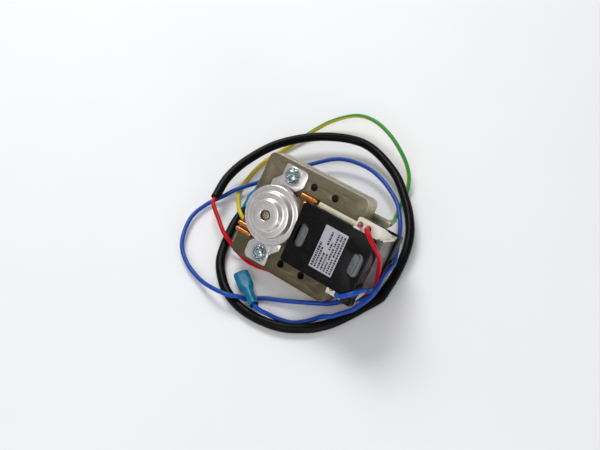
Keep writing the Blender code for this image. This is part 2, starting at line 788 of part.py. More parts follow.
def make_fasteners(zinc, frame):
    ear = GAP + SHEET
    washer = (ear + GAP, ear + GAP + WASHER_THICKNESS)
    under_head = washer[1] + GAP
    nut_top = REAR - ear - GAP
    tail = nut_top - NUT_THICKNESS - SCREW_TAIL
    head = [
        (0.0, under_head + HEAD_HEIGHT),
        (HEAD_RADIUS * 0.55, under_head + HEAD_HEIGHT),
        (HEAD_RADIUS * 0.88, under_head + HEAD_HEIGHT * 0.75),
        (HEAD_RADIUS, under_head + HEAD_HEIGHT * 0.35),
        (HEAD_RADIUS, under_head),
        (SCREW_RADIUS, under_head),
        (SCREW_RADIUS, tail + SHAFT_CHAMFER),
        (SCREW_RADIUS - SHAFT_CHAMFER, tail),
        (0.0, tail),
    ]
    for side, label in ((1, "upper"), (-1, "lower")):
        y = side * SCREW_Y
        screw = lathe(f"screw_{label}", head, zinc, frame, 20)
        screw.location = (0, y, 0)
        long, short = HEAD_RADIUS * 0.5, HEAD_RADIUS * 0.12
        z = (under_head + HEAD_HEIGHT * 0.35, under_head + HEAD_HEIGHT + GAP)
        for name, x_half, y_half in (("a", long, short), ("b", short, long)):
            x = (-x_half, x_half)
            recess = box(f"recess_{label}_{name}", x, (y - y_half, y + y_half), z, None, frame)
            add_boolean(screw, "DIFFERENCE", recess)
        teeth = []
        for i in range(24):
            radius = WASHER_RADIUS * (1.0 if i % 2 else 0.88)
            a = 2 * math.pi * i / 24
            teeth.append((radius * math.cos(a), y + radius * math.sin(a)))
        hole = circle(0, y, SCREW_RADIUS + GAP)
        prism(f"star_washer_{label}", teeth, *washer, zinc, frame, [hole])
        hexagon = polygon(0, y, NUT_FLATS, 6)
        z = (nut_top - NUT_THICKNESS, nut_top)
        prism(f"nut_{label}", hexagon, *z, zinc, frame, [hole])


def make_earth_tag(tin, frame):
    z1 = REAR - GAP
    z0 = z1 - TAG_THICKNESS
    half = TAG_WIDTH / 2
    outline = rectangle(TAG_LEFT, TAG_RIGHT, TAG_Y - half, TAG_Y + half)
    outline = round_corners(outline, half * 0.6)
    hole = circle(RIVET_X, TAG_Y, RIVET_RADIUS + GAP, 12)
    tag = prism("earth_tag", outline, z0, z1, tin, frame, [hole])
    outer = circle(TAG_BARREL_X, TAG_Y, WIRE / 2 + GAP + CRIMP_WALL)
    z = (z0 - TAG_BARREL_LENGTH, z0 + TAG_THICKNESS / 2)
    add_boolean(tag, "UNION", prism("tag_barrel", outer, *z, None, frame))
    inner = circle(TAG_BARREL_X, TAG_Y, WIRE / 2 + GAP)
    z = (z0 - TAG_BARREL_LENGTH - GAP, z0 - GAP)
    add_boolean(tag, "DIFFERENCE", prism("tag_socket", inner, *z, None, frame))
    under = z0 - GAP
    rivet = [
        (0.0, FRONT), (RIVET_RADIUS, FRONT), (RIVET_RADIUS, under),
        (RIVET_RADIUS * 1.8, under), (RIVET_RADIUS * 1.5, under - RIVET_RADIUS * 0.7),
        (0.0, under - RIVET_RADIUS * 0.7),
    ]
    made = lathe("earth_rivet", rivet, tin, frame, 16)
    made.location = (RIVET_X, TAG_Y, 0)


# Leads, sleeve and terminals


def place_along(empty, start, end):
    """Puts an empty at a start point in millimetres with its X axis towards the end."""
    a, b = Vector(start) * mm(1), Vector(end) * mm(1)
    x = (b - a).normalized()
    y = Vector((0, 0, 1)).cross(x).normalized()
    z = x.cross(y)
    empty.matrix_world = Matrix.Translation(a) @ Matrix((x, y, z)).transposed().to_4x4()


def make_receptacle(number, barrel_end, mouth, plastic, brass):
    """Insulated push-on terminal; X runs from the wire end to the mouth."""
    frame = add_empty(f"receptacle_frame_{number}")
    place_along(frame, barrel_end, mouth)
    barrel = SPADE_BARREL / 2
    width = SPADE_MOUTH_WIDTH / 2
    height = SPADE_MOUTH_HEIGHT / 2
    n = SPADE_LENGTH
    w = SPADE_WALL
    outside = [
        (0.0, barrel, barrel, 1.0),
        (n * 0.36, barrel, barrel, 1.0),
        (n * 0.46, barrel * 1.08, barrel, 0.9),
        (n * 0.56, width, height, 0.65),
        (n - mm(0.6), width, height, 0.6),
        (n, width - mm(0.5), height - mm(0.5), 0.6),
    ]
    inside = [
        (0.0, barrel - w, barrel - w, 1.0),
        (n * 0.36, barrel - w, barrel - w, 1.0),
        (n * 0.46, barrel * 1.08 - w, barrel - w, 0.9),
        (n * 0.58, width - w, height - w, 0.65),
        (n, width - w - mm(0.5), height - w - mm(0.5), 0.6),
    ]
    loft(f"receptacle_insulator_{number}", outside, inside, plastic, frame)

    t = TONGUE_SHEET
    half, rise = TONGUE_WIDTH / 2, TONGUE_HEIGHT / 2
    curl = half * 0.42
    section = [
        (-half, -rise), (half, -rise), (half, rise), (half - curl, rise),
        (half - curl, rise - t), (half - t, rise - t), (half - t, -rise + t),
        (-half + t, -rise + t), (-half + t, rise - t), (-half + curl, rise - t),
        (-half + curl, rise), (-half, rise),
    ]
    clip = along_x(f"receptacle_contact_{number}", section, n * 0.62, n - mm(2.2), brass, frame)
    crimp = WIRE / 2 + GAP
    tube = along_x(
        f"crimp_{number}", circle(0, 0, crimp + CRIMP_WALL, 12), n * 0.12, n * 0.4,
        None, frame, [circle(0, 0, crimp, 12)],
    )
    neck = rectangle(-crimp * 0.8, crimp * 0.8, -rise, -rise + t)
    strap = along_x(f"neck_{number}", neck, n * 0.36, n * 0.66, None, frame)
    foot = rectangle(-crimp * 0.8, crimp * 0.8, -crimp - CRIMP_WALL, -rise + t)
    foot = along_x(f"foot_{number}", foot, n * 0.38, n * 0.4, None, frame)
    for tool in (strap, foot, tube):
        add_boolean(clip, "UNION", tool)


def along_x(name, section, x0, x1, material, parent, holes=()):
    """Prism along X whose section's points are Y and Z."""
    obj = prism(name, section, x0, x1, material, parent, holes)
    obj.data.transform(Matrix(((0, 0, 1, 0), (1, 0, 0, 0), (0, 1, 0, 0), (0, 0, 0, 1))))
    return obj


def make_ring_terminal(barrel_end, tip, tin):
    """Ring tongue at the far end of the earth wire; X runs towards the ring."""
    frame = add_empty("ring_terminal_frame")
    place_along(frame, barrel_end, tip)
    crimp = WIRE / 2 + GAP
    barrel = along_x(
        "earth_ring_terminal", circle(0, 0, crimp + CRIMP_WALL, 12), 0.0, mm(7.0),
        tin, frame, [circle(0, 0, crimp, 12)],
    )
    low = -crimp - CRIMP_WALL
    ring = circle(mm(14.0), 0, mm(4.0), 20)
    plate = prism("ring_plate", ring, low, low + TAG_THICKNESS, None, frame,
                  [circle(mm(14.0), 0, mm(2.15), 12)])
    neck = box("ring_neck", (mm(6.0), mm(11.0)), (-crimp * 0.9, crimp * 0.9),
               (low, low + TAG_THICKNESS), None, frame)
    add_boolean(plate, "UNION", neck)
    add_boolean(barrel, "UNION", neck)
    add_boolean(barrel, "UNION", plate)


def motor_point(x, y, z):
    """A point of the motor's own frame, in millimetres of the world."""
    c, s = math.cos(LEAN), math.sin(LEAN)
    return (
        x + MOTOR_X / mm(1),
        y * c - z * s + MOTOR_Y / mm(1),
        y * s + z * c + REST_HEIGHT / mm(1),
    )


def make_leads(colours, plastic, brass, tin):
    lead_x, stub_x = LEAD_HOLE_X / mm(1), STUB_HOLE_X / mm(1)
    lead_y = LEAD_HOLE_Y / mm(1)
    hole_floor = (BLOCK_FRONT - LEAD_HOLE_DEPTH + GAP) / mm(1)
    out = BLOCK_FRONT / mm(1)

    make_receptacle(1, (-7.2, -47.2, 8.1), (-27.7, -33.4, 3.4), plastic, brass)
    make_receptacle(2, (-55.8, 25.6, 8.1), (-48.8, 1.6, 9.0), plastic, brass)

    red = [motor_point(lead_x, lead_y, z) for z in (hole_floor, 5.5, out + 1.5)]
    red += [
        motor_point(lead_x + 0.7, lead_y, out + 4.8),
        motor_point(lead_x + 2.7, lead_y, out + 8.4),
        motor_point(lead_x + 6.1, lead_y - 2.0, out + 9.9),
        motor_point(lead_x + 10.0, lead_y - 5.2, out + 8.9),
        (42.7, -3.9, 44.8), (42.8, -2.2, 38.0), (42.7, -1.7, 32.0), (42.6, -2.6, 23.5),
        (42.5, -3.4, 18.0), (42.5, -4.2, 13.5), (42.4, -5.2, 10.2), (41.8, -6.3, 7.9),
        (40.2, -7.4, 6.9), (38.0, -8.4, 5.6), (35.5, -9.8, 3.6), (33.0, -11.2, 2.2),
        (28.0, -16.0, 1.6), (24.0, -19.8, 1.45), (21.0, -20.7, 1.4), (16.0, -20.85, 1.4),
        (-8.0, -20.8, 1.4), (-17.0, -21.4, 1.4), (-25.0, -23.2, 1.4), (-32.7, -23.3, 1.6),
        (-39.9, -22.4, 4.4), (-45.7, -21.2, 8.0), (-51.7, -18.7, 8.8), (-59.7, -13.2, 9.4),
        (-66.0, -9.0, 10.0), (-69.2, -6.2, 10.0), (-70.37, -3.12, 10.0),
    ]
    cord("red_lead", red, WIRE, colours["red"], spacing=2.2)

    sleeve = [
        (-70.5, -2.7, 10.0), (-74.2, 13.8, 10.0), (-72.2, 31.8, 10.5), (-63.5, 52.7, 11.0),
        (-44.7, 71.8, 11.0), (-20.7, 81.5, 10.0), (5.2, 73.0, 9.2), (23.6, 57.6, 8.6),
        (34.0, 45.0, 7.9), (39.3, 34.6, 6.5), (42.4, 23.0, 4.9), (43.8, 12.5, 3.2),
        (44.3, 4.0, 2.8), (44.8, 0.3, 2.8), (44.6, -2.2, 2.8), (43.8, -5.0, 2.8),
        (42.4, -7.9, 2.8), (40.2, -12.9, 2.8),
        (37.8, -18.8, 2.8), (34.6, -25.5, 2.8), (31.2, -31.4, 2.8), (27.2, -36.4, 2.8),
        (22.6, -40.6, 2.8), (12.1, -47.2, 2.8), (0.0, -50.4, 2.8), (-12.2, -50.8, 2.8),
        (-22.8, -48.4, 2.8), (-32.4, -43.3, 2.8), (-43.2, -32.7, 2.9), (-50.2, -16.7, 2.9),
        (-53.7, -3.2, 2.9), (-53.2, 8.8, 2.9), (-48.7, 19.8, 2.9),
    ]
    cord("black_sleeve", sleeve, SLEEVE, colours["black"], spacing=2.2)

    tail = [
        (-48.55, 20.15, 2.9), (-45.9, 27.0, 3.2), (-46.5, 35.0, 5.3), (-50.5, 40.0, 7.2),
        (-55.6, 39.4, 8.0), (-57.9, 35.0, 8.0), (-57.1, 30.2, 7.95), (-55.8, 25.6, 8.1),
        (-54.6, 21.4, 8.25),
    ]
    cord("red_tail", tail, WIRE, colours["red"], spacing=2.2)

    blue = [motor_point(lead_x, -lead_y, z) for z in (hole_floor, 5.5, out + 1.5)]
    blue += [
        motor_point(lead_x + 0.7, -lead_y, out + 4.8),
        motor_point(lead_x + 2.6, -lead_y + 0.4, out + 8.1),
        motor_point(lead_x + 5.8, -lead_y + 2.4, out + 9.9),
        motor_point(lead_x + 10.0, -lead_y + 6.1, out + 9.2),
        (43.5, -19.4, 31.0), (43.6, -15.0, 25.8), (43.6, -10.9, 20.8), (43.7, -9.3, 17.4),
        (43.6, -8.7, 14.2), (42.9, -9.0, 11.7), (41.4, -10.4, 9.9), (39.0, -11.3, 8.2),
        (36.3, -11.7, 6.6), (32.7, -12.6, 5.2), (25.6, -21.0, 4.5), (17.7, -26.2, 4.5),
        (3.0, -33.4, 3.0), (-4.0, -36.2, 2.2), (-9.6, -38.8, 1.6), (-13.6, -42.4, 1.5),
        (-15.4, -44.5, 2.5), (-16.9, -46.0, 4.7), (-18.5, -47.6, 6.9), (-22.6, -50.1, 8.0),
        (-32.2, -51.2, 7.2),
        (-44.7, -49.2, 3.5), (-58.7, -44.2, 3.0), (-69.7, -35.2, 3.5), (-76.7, -19.2, 3.5),
        (-76.0, -5.2, 2.5), (-71.2, 4.8, 3.2), (-68.0, 10.5, 4.7), (-64.6, 16.0, 4.9),
        (-60.0, 25.2, 3.5), (-52.0, 39.5, 3.6), (-40.5, 53.0, 6.0), (-27.7, 64.3, 8.0),
        (-11.7, 67.9, 8.0), (3.3, 64.3, 8.2), (18.3, 55.0, 9.4), (24.3, 48.6, 9.4),
        (29.2, 42.1, 9.9), (32.6, 36.0, 11.0), (36.5, 28.0, 12.2), (40.4, 19.2, 12.5),
        (42.8, 13.6, 14.6), (43.7, 6.8, 18.0), (44.8, -0.6, 21.4), (45.9, -6.2, 23.4),
        (46.6, -10.4, 23.9), (46.4, -13.6, 21.8), (44.8, -15.7, 18.9), (42.6, -17.9, 15.4),
        (39.3, -21.6, 11.6), (37.2, -22.6, 9.4), (34.2, -24.8, 7.4), (30.6, -29.2, 6.9),
        (27.4, -30.9, 6.2), (25.0, -31.9, 4.7), (22.7, -33.6, 2.7), (18.9, -37.2, 1.5),
        (13.7, -41.5, 1.5),
        (8.3, -43.6, 1.8), (4.4, -45.0, 2.9), (1.0, -46.3, 5.0), (-1.4, -47.3, 6.5),
        (-4.6, -47.8, 7.7),
        (-8.4, -46.4, 7.83), (-12.1, -43.9, 6.95),
    ]
    cord("blue_lead", blue, WIRE, colours["blue"], spacing=2.65)

    barrel_x, barrel_y = TAG_BARREL_X / mm(1), TAG_Y / mm(1)
    barrel_z = (REAR - GAP - TAG_THICKNESS) / mm(1)
    earth = [motor_point(barrel_x, barrel_y, barrel_z - z) for z in (0.8, 3.5, 7.0)]
    earth += [
        (30.0, 33.5, 22.5), (25.6, 41.3, 11.6), (21.5, 52.5, 4.0), (18.8, 61.3, 2.0),
        (17.3, 69.8, 3.5), (12.5, 78.5, 7.0), (4.3, 84.8, 12.0), (-9.7, 92.3, 15.0),
        (-24.7, 97.8, 14.0), (-37.7, 97.3, 11.5), (-49.7, 89.3, 7.0), (-56.7, 77.8, 4.0),
        (-62.7, 59.8, 2.0), (-67.7, 43.8, 1.6), (-69.0, 33.4, 1.5), (-68.4, 24.0, 1.5),
        (-67.4, 15.4, 1.4), (-64.2, 10.2, 2.8), (-60.9, 6.2, 5.0), (-57.2, 2.3, 7.2),
        (-53.1, -1.7, 8.6), (-48.6, -4.4, 8.4), (-44.8, -4.6, 6.2), (-40.8, -1.8, 3.1),
        (-37.0, 2.0, 2.57), (-34.5, 4.5, 2.55), (-31.8, 7.2, 2.53),
    ]
    cord("earth_wire", earth, WIRE, colours["earth"], spacing=2.4)
    make_ring_terminal((-35.0, 4.0, 2.55), (-22.0, 17.0, 2.4), tin)

    stub = [motor_point(stub_x, lead_y, z) for z in (hole_floor, out)]
    stub += [motor_point(stub_x, lead_y - 0.4, out + 2.4)]
    cord("coil_lead_stub", stub, STUB, colours["pink"], spacing=0.8)


def build():
    clear_scene()
    steel = make_material("varnished_steel", (0.31, 0.28, 0.19), 0.45, 0.6)
    copper = make_material("copper", (0.85, 0.36, 0.12), 0.3, 1.0)
    nylon = make_material("cream_nylon", (0.85, 0.82, 0.70), 0.5)
    enamel = make_material("enamelled_wire", (0.45, 0.18, 0.07), 0.35, 0.8)
    tape = make_material("grey_tape", (0.33, 0.32, 0.32), 0.4)
    black = make_material("black_plastic", (0.012, 0.012, 0.014), 0.22)
    clip = make_material("grey_clip", (0.42, 0.44, 0.46), 0.35)
    paper = make_material("label", (0.52, 0.50, 0.53), 0.4, 0.2)
    bracket = make_material("satin_aluminium", (0.62, 0.58, 0.55), 0.35, 0.9)
    bronze = make_material("sintered_bronze", (0.48, 0.33, 0.16), 0.5, 0.9)
    spring = make_material("spring_steel", (0.40, 0.40, 0.42), 0.35, 1.0)
    felt = make_material("oil_felt", (0.55, 0.47, 0.33), 0.95)
    core = make_material("rotor_steel", (0.28, 0.27, 0.26), 0.45, 0.9)
    aluminium = make_material("cast_aluminium", (0.60, 0.61, 0.62), 0.45, 1.0)
    bright = make_material("shaft_steel", (0.70, 0.66, 0.60), 0.2, 1.0)
    washer = make_material("natural_nylon", (0.80, 0.79, 0.74), 0.5)
    zinc = make_material("bright_zinc", (0.66, 0.72, 0.76), 0.22, 1.0)
    tin = make_material("tinned_brass", (0.45, 0.44, 0.36), 0.35, 0.9)
    plastic = make_material("cyan_vinyl", (0.02, 0.30, 0.42), 0.25, 0.0, 0.8)
    brass = make_material("brass", (0.72, 0.53, 0.22), 0.3, 1.0)
    colours = {
        "red": make_material("red_pvc", (0.52, 0.01, 0.02), 0.35),
        "blue": make_material("blue_pvc", (0.01, 0.045, 0.30), 0.35),
        "earth": make_material("green_yellow_pvc", (0.10, 0.42, 0.10), 0.35),
        "black": make_material("black_sleeving", (0.012, 0.012, 0.012), 0.3),
        "pink": make_material("pink_sleeving", (0.60, 0.12, 0.18), 0.5),
    }

    frame = add_empty("motor_frame")
    frame.location = (MOTOR_X, MOTOR_Y, REST_HEIGHT)
    frame.rotation_euler = (LEAN, 0, 0)
    axis = add_empty("rotor_axis", frame)

    make_stator(steel, copper, frame)
    make_bobbin(nylon, frame)
    make_winding(enamel, tape, frame)
    make_covers(black, clip, paper, frame)
    for end in ("front", "rear"):
        make_bracket(end, bracket, frame)
        make_bearing(end, bronze, spring, felt, frame)
    make_rotor(core, aluminium, bright, washer, axis)
    make_fasteners(zinc, frame)
    make_earth_tag(tin, frame)
    make_leads(colours, plastic, brass, tin)


build()
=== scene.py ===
"""Looks for the shaded-pole fan motor: pieces, materials, cords, light and camera.

The motor's pieces are modelled in the motor's own frame, like its CAD solids:
X runs from the shaft towards the coil, Y across the two arms of the stack, Z along
the shaft, with Z = 0 on the stack's front face. settle() then leans each piece onto
the table. Cords are drawn straight in the row's frame.
"""

import math
import random

import bmesh
import bpy
from mathutils import Matrix, Vector


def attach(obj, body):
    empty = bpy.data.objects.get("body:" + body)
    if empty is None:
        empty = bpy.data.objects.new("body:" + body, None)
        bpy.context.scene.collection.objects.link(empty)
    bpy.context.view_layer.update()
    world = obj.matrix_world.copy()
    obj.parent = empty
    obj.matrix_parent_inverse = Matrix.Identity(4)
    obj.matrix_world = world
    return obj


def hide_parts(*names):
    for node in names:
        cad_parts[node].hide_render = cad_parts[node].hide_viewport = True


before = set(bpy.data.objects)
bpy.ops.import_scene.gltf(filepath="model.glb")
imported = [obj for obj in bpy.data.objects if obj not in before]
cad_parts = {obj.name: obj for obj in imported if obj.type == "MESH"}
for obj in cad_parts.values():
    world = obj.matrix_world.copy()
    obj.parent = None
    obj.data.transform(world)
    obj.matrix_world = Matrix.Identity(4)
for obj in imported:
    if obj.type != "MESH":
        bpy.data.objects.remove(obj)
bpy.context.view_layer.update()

MM = 0.001

# Motor frame in the row's frame
LEAN = math.radians(43.5)
HALF_WIDTH = 30.5
STACK_DEPTH = 14.0
REST_HEIGHT = HALF_WIDTH * math.sin(LEAN) + STACK_DEPTH * math.cos(LEAN)
MOTOR_PLACE = (-21.65, -4.82, REST_HEIGHT)
MOTOR = Matrix.Translation(Vector(MOTOR_PLACE) * MM) @ Matrix.Rotation(LEAN, 4, "X")

# Sizes that pieces share, in millimetres
CORE_X = 40.4
SCREW_Y = 23.1
SCREW_HOLE = 2.2
MOUNTING_HOLES_X = (13.6, 27.2)
RING_LEGS = {"large": (9.9, 17.0), "small": (12.9, 13.4)}
RIVET = (35.0, 21.4)
BORE = 13.4
WINDOW_LEFT = 17.1
WINDOW_HALF = 16.0
CUP_RADIUS = 16.5
CUP_INSIDE = CUP_RADIUS - 1.2
COVER_TOP = 14.2
COVER_Y = 16.9
COVER_LEFT = CORE_X - 22.3
COVER_RIGHT = CORE_X + 22.3
SLOT_OFFSET = 17.0
TAPE_TOP = 12.2
WIRE = 2.5
SLEEVE = 5.4
REAR = -STACK_DEPTH
SHEETS = 22
SHEET_PITCH = STACK_DEPTH / SHEETS
SHEET_THICKNESS = SHEET_PITCH - 0.03


# Modelling by hand


def let_go():
    if bpy.context.object and bpy.context.object.mode != "OBJECT":
        bpy.ops.object.mode_set(mode="OBJECT")
    bpy.ops.object.select_all(action="DESELECT")


def take(*pieces):
    let_go()
    for piece in pieces:
        piece.select_set(True)
    bpy.context.view_layer.objects.active = pieces[0]


def edit_all(piece):
    """Edit mode with everything selected."""
    take(piece)
    bpy.ops.object.mode_set(mode="EDIT")
    bpy.ops.mesh.select_all(action="SELECT")


def apply_place(piece):
    take(piece)
    bpy.ops.object.transform_apply(location=True, rotation=True, scale=True)
    return piece


def block(name, x, y, z):
    """Box between two corners, in millimetres of the motor's frame."""
    let_go()
    centre = [(a + b) / 2 * MM for a, b in (x, y, z)]
    bpy.ops.mesh.primitive_cube_add(size=1, location=centre)
    piece = bpy.context.object
    piece.name = name
    piece.scale = [(b - a) * MM for a, b in (x, y, z)]
    return apply_place(piece)


def rod(name, x, y, z, radius, sides=48):
    """Upright cylinder from z[0] to z[1]."""
    let_go()
    bpy.ops.mesh.primitive_cylinder_add(
        vertices=sides,
        radius=radius * MM,
        depth=(z[1] - z[0]) * MM,
        location=[v * MM for v in (x, y, (z[0] + z[1]) / 2)],
    )
    piece = bpy.context.object
    piece.name = name
    return apply_place(piece)


def pick_edges(piece, test):
    """Edit mode with the edges selected whose two ends pass the test."""
    take(piece)
    bpy.ops.object.mode_set(mode="EDIT")
    bpy.ops.mesh.select_mode(type="EDGE")
    bpy.ops.mesh.select_all(action="DESELECT")
    mesh = bmesh.from_edit_mesh(piece.data)
    for edge in mesh.edges:
        a, b = (v.co / MM for v in edge.verts)
        edge.select_set(test(a, b))
    mesh.select_flush_mode()
    bmesh.update_edit_mesh(piece.data)


def round_edges(piece, radius, test, segments=5):
    pick_edges(piece, test)
    bpy.ops.mesh.bevel(offset=radius * MM, segments=segments, affect="EDGES")
    let_go()
    return piece


def upright(a, b):
    return abs(a.x - b.x) < 0.01 and abs(a.y - b.y) < 0.01


def combine(piece, tools, operation):
    """Applies one exact Boolean per tool and takes the tools away."""
    for tool in tools:
        modifier = piece.modifiers.new(operation.lower(), "BOOLEAN")
        modifier.operation = operation
        modifier.solver = "EXACT"
        modifier.object = tool
        take(piece)
        bpy.ops.object.modifier_apply(modifier=modifier.name)
        bpy.data.objects.remove(tool, do_unlink=True)
    return piece


def cut(piece, *tools):
    return combine(piece, tools, "DIFFERENCE")


def fuse(piece, *tools):
    return combine(piece, tools, "UNION")


def soften(piece, radius, segments=2, angle=30.0, smooth=35.0, face_slot=None):
    """Rounds every corner sharper than the angle, and shades the piece smooth."""
    modifier = piece.modifiers.new("soft_edges", "BEVEL")
    modifier.width = radius * MM
    modifier.segments = segments
    modifier.limit_method = "ANGLE"
    modifier.angle_limit = math.radians(angle)
    if face_slot is not None:
        modifier.material = face_slot
    take(piece)
    bpy.ops.object.modifier_apply(modifier=modifier.name)
    bpy.ops.object.shade_smooth_by_angle(angle=math.radians(smooth))
    return piece


def trim(piece, planes):
    """Cuts the piece off beyond each plane, given as a point and a direction."""
    edit_all(piece)
    for point, normal in planes:
        bpy.ops.mesh.select_all(action="SELECT")
        bpy.ops.mesh.bisect(
            plane_co=[v * MM for v in point],
            plane_no=normal,
            use_fill=True,
            clear_outer=True,
        )
    let_go()
    return piece


def turned(name, profile, steps=64, sweep=360.0, start=0.0):
    """Solid turned about Z: a line of points is extruded and spun."""
    let_go()
    angle = math.radians(start)

    def place(radius, height):
        return Vector((radius * math.cos(angle), radius * math.sin(angle), height)) * MM

    bpy.ops.mesh.primitive_plane_add(size=0.001, location=place(*profile[0]))
    piece = bpy.context.object
    piece.name = name
    edit_all(piece)
    bpy.ops.mesh.select_mode(type="VERT")
    bpy.ops.mesh.merge(type="CENTER")
    apply_place(piece)
    edit_all(piece)
    for a, b in zip(profile, profile[1:]):
        step = place(*b) - place(*a)
        bpy.ops.mesh.extrude_region_move(TRANSFORM_OT_translate={"value": step})
    bpy.ops.mesh.select_all(action="SELECT")
    bpy.ops.mesh.spin(steps=steps, angle=math.radians(sweep), center=(0, 0, 0), axis=(0, 0, 1))
    bpy.ops.mesh.select_all(action="SELECT")
    bpy.ops.mesh.remove_doubles(threshold=0.002 * MM)
    if sweep < 360:
        bpy.ops.mesh.select_all(action="DESELECT")
        bpy.ops.mesh.select_non_manifold(extend=False)
        bpy.ops.mesh.edge_face_add()
    bpy.ops.mesh.select_all(action="SELECT")
    bpy.ops.mesh.normals_make_consistent(inside=False)
    let_go()
    return piece


def move(piece, x=0.0, y=0.0, z=0.0):
    piece.location = Vector((x, y, z)) * MM
    return apply_place(piece)


def turn(piece, degrees):
    """Turned about the line of the shaft."""
    piece.rotation_euler = (0, 0, math.radians(degrees))
    return apply_place(piece)


def mirror(piece, height):
    """Mirrored in place about a level plane, with its faces turned out."""
    edit_all(piece)
    bpy.ops.transform.resize(value=(1, 1, -1), center_override=(0, 0, height * MM))
    bpy.ops.mesh.normals_make_consistent(inside=False)
    let_go()
    return piece


def twin(piece, name):
    copy = piece.copy()
    copy.data = piece.data.copy()
    copy.name = name
    bpy.context.scene.collection.objects.link(copy)
    return copy


def new_object(name, data):
    piece = bpy.data.objects.new(name, data)
    bpy.context.scene.collection.objects.link(piece)
    return piece


def mesh_piece(name, mesh):
    """Piece of a finished bmesh, with its faces turned out and shaded smooth."""
    bmesh.ops.recalc_face_normals(mesh, faces=mesh.faces)
    data = bpy.data.meshes.new(name)
    mesh.to_mesh(data)
    mesh.free()
    piece = new_object(name, data)
    take(piece)
    bpy.ops.object.shade_smooth_by_angle(angle=math.radians(50))
    return piece


def join(name, pieces):
    take(*pieces)
    bpy.ops.object.join()
    piece = bpy.context.object
    piece.name = name
    return piece


def settle(piece, materials, replaces=(), place=MOTOR):
    """Leans a finished piece into the row's frame and gives it to the stator."""
    piece.matrix_world = place
    apply_place(piece)
    while len(piece.data.materials) < len(materials):
        piece.data.materials.append(None)
    for i, material in enumerate(materials):
        piece.data.materials[i] = material
    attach(piece, "stator")
    if replaces:
        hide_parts(*replaces)
    return piece


def dress_node(name, material, radius):
    """Keeps a CAD solid, with its own new material and softened edges."""
    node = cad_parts[name]
    node.data.materials.clear()
    node.data.materials.append(material)
    if radius:
        weld = node.modifiers.new("weld", "WELD")
        weld.merge_threshold = 0.001 * MM
        flat = node.modifiers.new("flat_faces", "DECIMATE")
        flat.decimate_type = "DISSOLVE"
        flat.angle_limit = math.radians(1.0)
        edge = node.modifiers.new("soft_edges", "BEVEL")
        edge.width = radius * MM
        edge.segments = 2
        edge.limit_method = "ANGLE"
        edge.angle_limit = math.radians(30.0)
    take(node)
    bpy.ops.object.shade_smooth_by_angle(angle=math.radians(35))


# Shader tools


def new_group(name, inputs, outputs):
    """Empty shader group with its sockets: {name: (kind, default)} and {name: kind}."""
    group = bpy.data.node_groups.new(name, "ShaderNodeTree")
    for label, (kind, value) in inputs.items():
        socket = group.interface.new_socket(
            name=label, in_out="INPUT", socket_type=f"NodeSocket{kind}"
        )
        if value is not None:
            socket.default_value = value
    for label, kind in outputs.items():
        group.interface.new_socket(
            name=label, in_out="OUTPUT", socket_type=f"NodeSocket{kind}"
        )
    return group, group.nodes.new("NodeGroupInput"), group.nodes.new("NodeGroupOutput")


def put(tree, kind, values=None, **settings):
    """Adds a node; values that are sockets are linked, others are set."""
    node = tree.nodes.new(kind)
    for key, value in settings.items():
        setattr(node, key, value)
    for key, value in (values or {}).items():
        if isinstance(value, bpy.types.NodeSocket):
            tree.links.new(value, node.inputs[key])
        else:
            node.inputs[key].default_value = value
    return node


def maths(tree, operation, a, b=0.0, c=None, clamp=False):
    values = {0: a, 1: b}
    if c is not None:
        values[2] = c
    node = put(tree, "ShaderNodeMath", values, operation=operation, use_clamp=clamp)
    return node.outputs[0]


def ramp(tree, value, low, high, to_low=0.0, to_high=1.0):
    node = put(
        tree,
        "ShaderNodeMapRange",
        {"Value": value, "From Min": low, "From Max": high, "To Min": to_low, "To Max": to_high},
        interpolation_type="SMOOTHSTEP",
    )
    return node.outputs["Result"]


def blend_colours(tree, factor, a, b):
    node = tree.nodes.new("ShaderNodeMix")
    node.data_type = "RGBA"
    for socket, value in ((node.inputs[0], factor), (node.inputs[6], a), (node.inputs[7], b)):
        if isinstance(value, bpy.types.NodeSocket):
            tree.links.new(value, socket)
        elif isinstance(value, (int, float)):
            socket.default_value = value
        else:
            socket.default_value = (*value[:3], 1.0)
    return node.outputs[2]


def noise(tree, vector, scale, detail=3.0, rough=0.5, dimensions="3D"):
    key = "W" if dimensions == "1D" else "Vector"
    node = put(
        tree,
        "ShaderNodeTexNoise",
        {key: vector, "Scale": scale, "Detail": detail, "Roughness": rough},
        noise_dimensions=dimensions,
    )
    return node.outputs[0]


def make_clouds():
    """Soft mottling of a surface: light and dark patches of two sizes."""
    inputs = {
        "Vector": ("Vector", None),
        "Scale": ("Float", 200.0),
        "Light": ("Color", (1, 1, 1, 1)),
        "Dark": ("Color", (0.5, 0.5, 0.5, 1)),
    }
    group, into, out = new_group("mottling", inputs, {"Color": "Color", "Mask": "Float"})
    broad = noise(group, into.outputs["Vector"], into.outputs["Scale"], 4.0, 0.6)
    finer = maths(group, "MULTIPLY", into.outputs["Scale"], 5.3)
    small = noise(group, into.outputs["Vector"], finer, 3.0, 0.6)
    both = maths(group, "MULTIPLY_ADD", small, 0.35, maths(group, "MULTIPLY", broad, 0.65))
    mask = ramp(group, both, 0.36, 0.64)
    colour = blend_colours(group, mask, into.outputs["Light"], into.outputs["Dark"])
    group.links.new(colour, out.inputs["Color"])
    group.links.new(mask, out.inputs["Mask"])
    return group


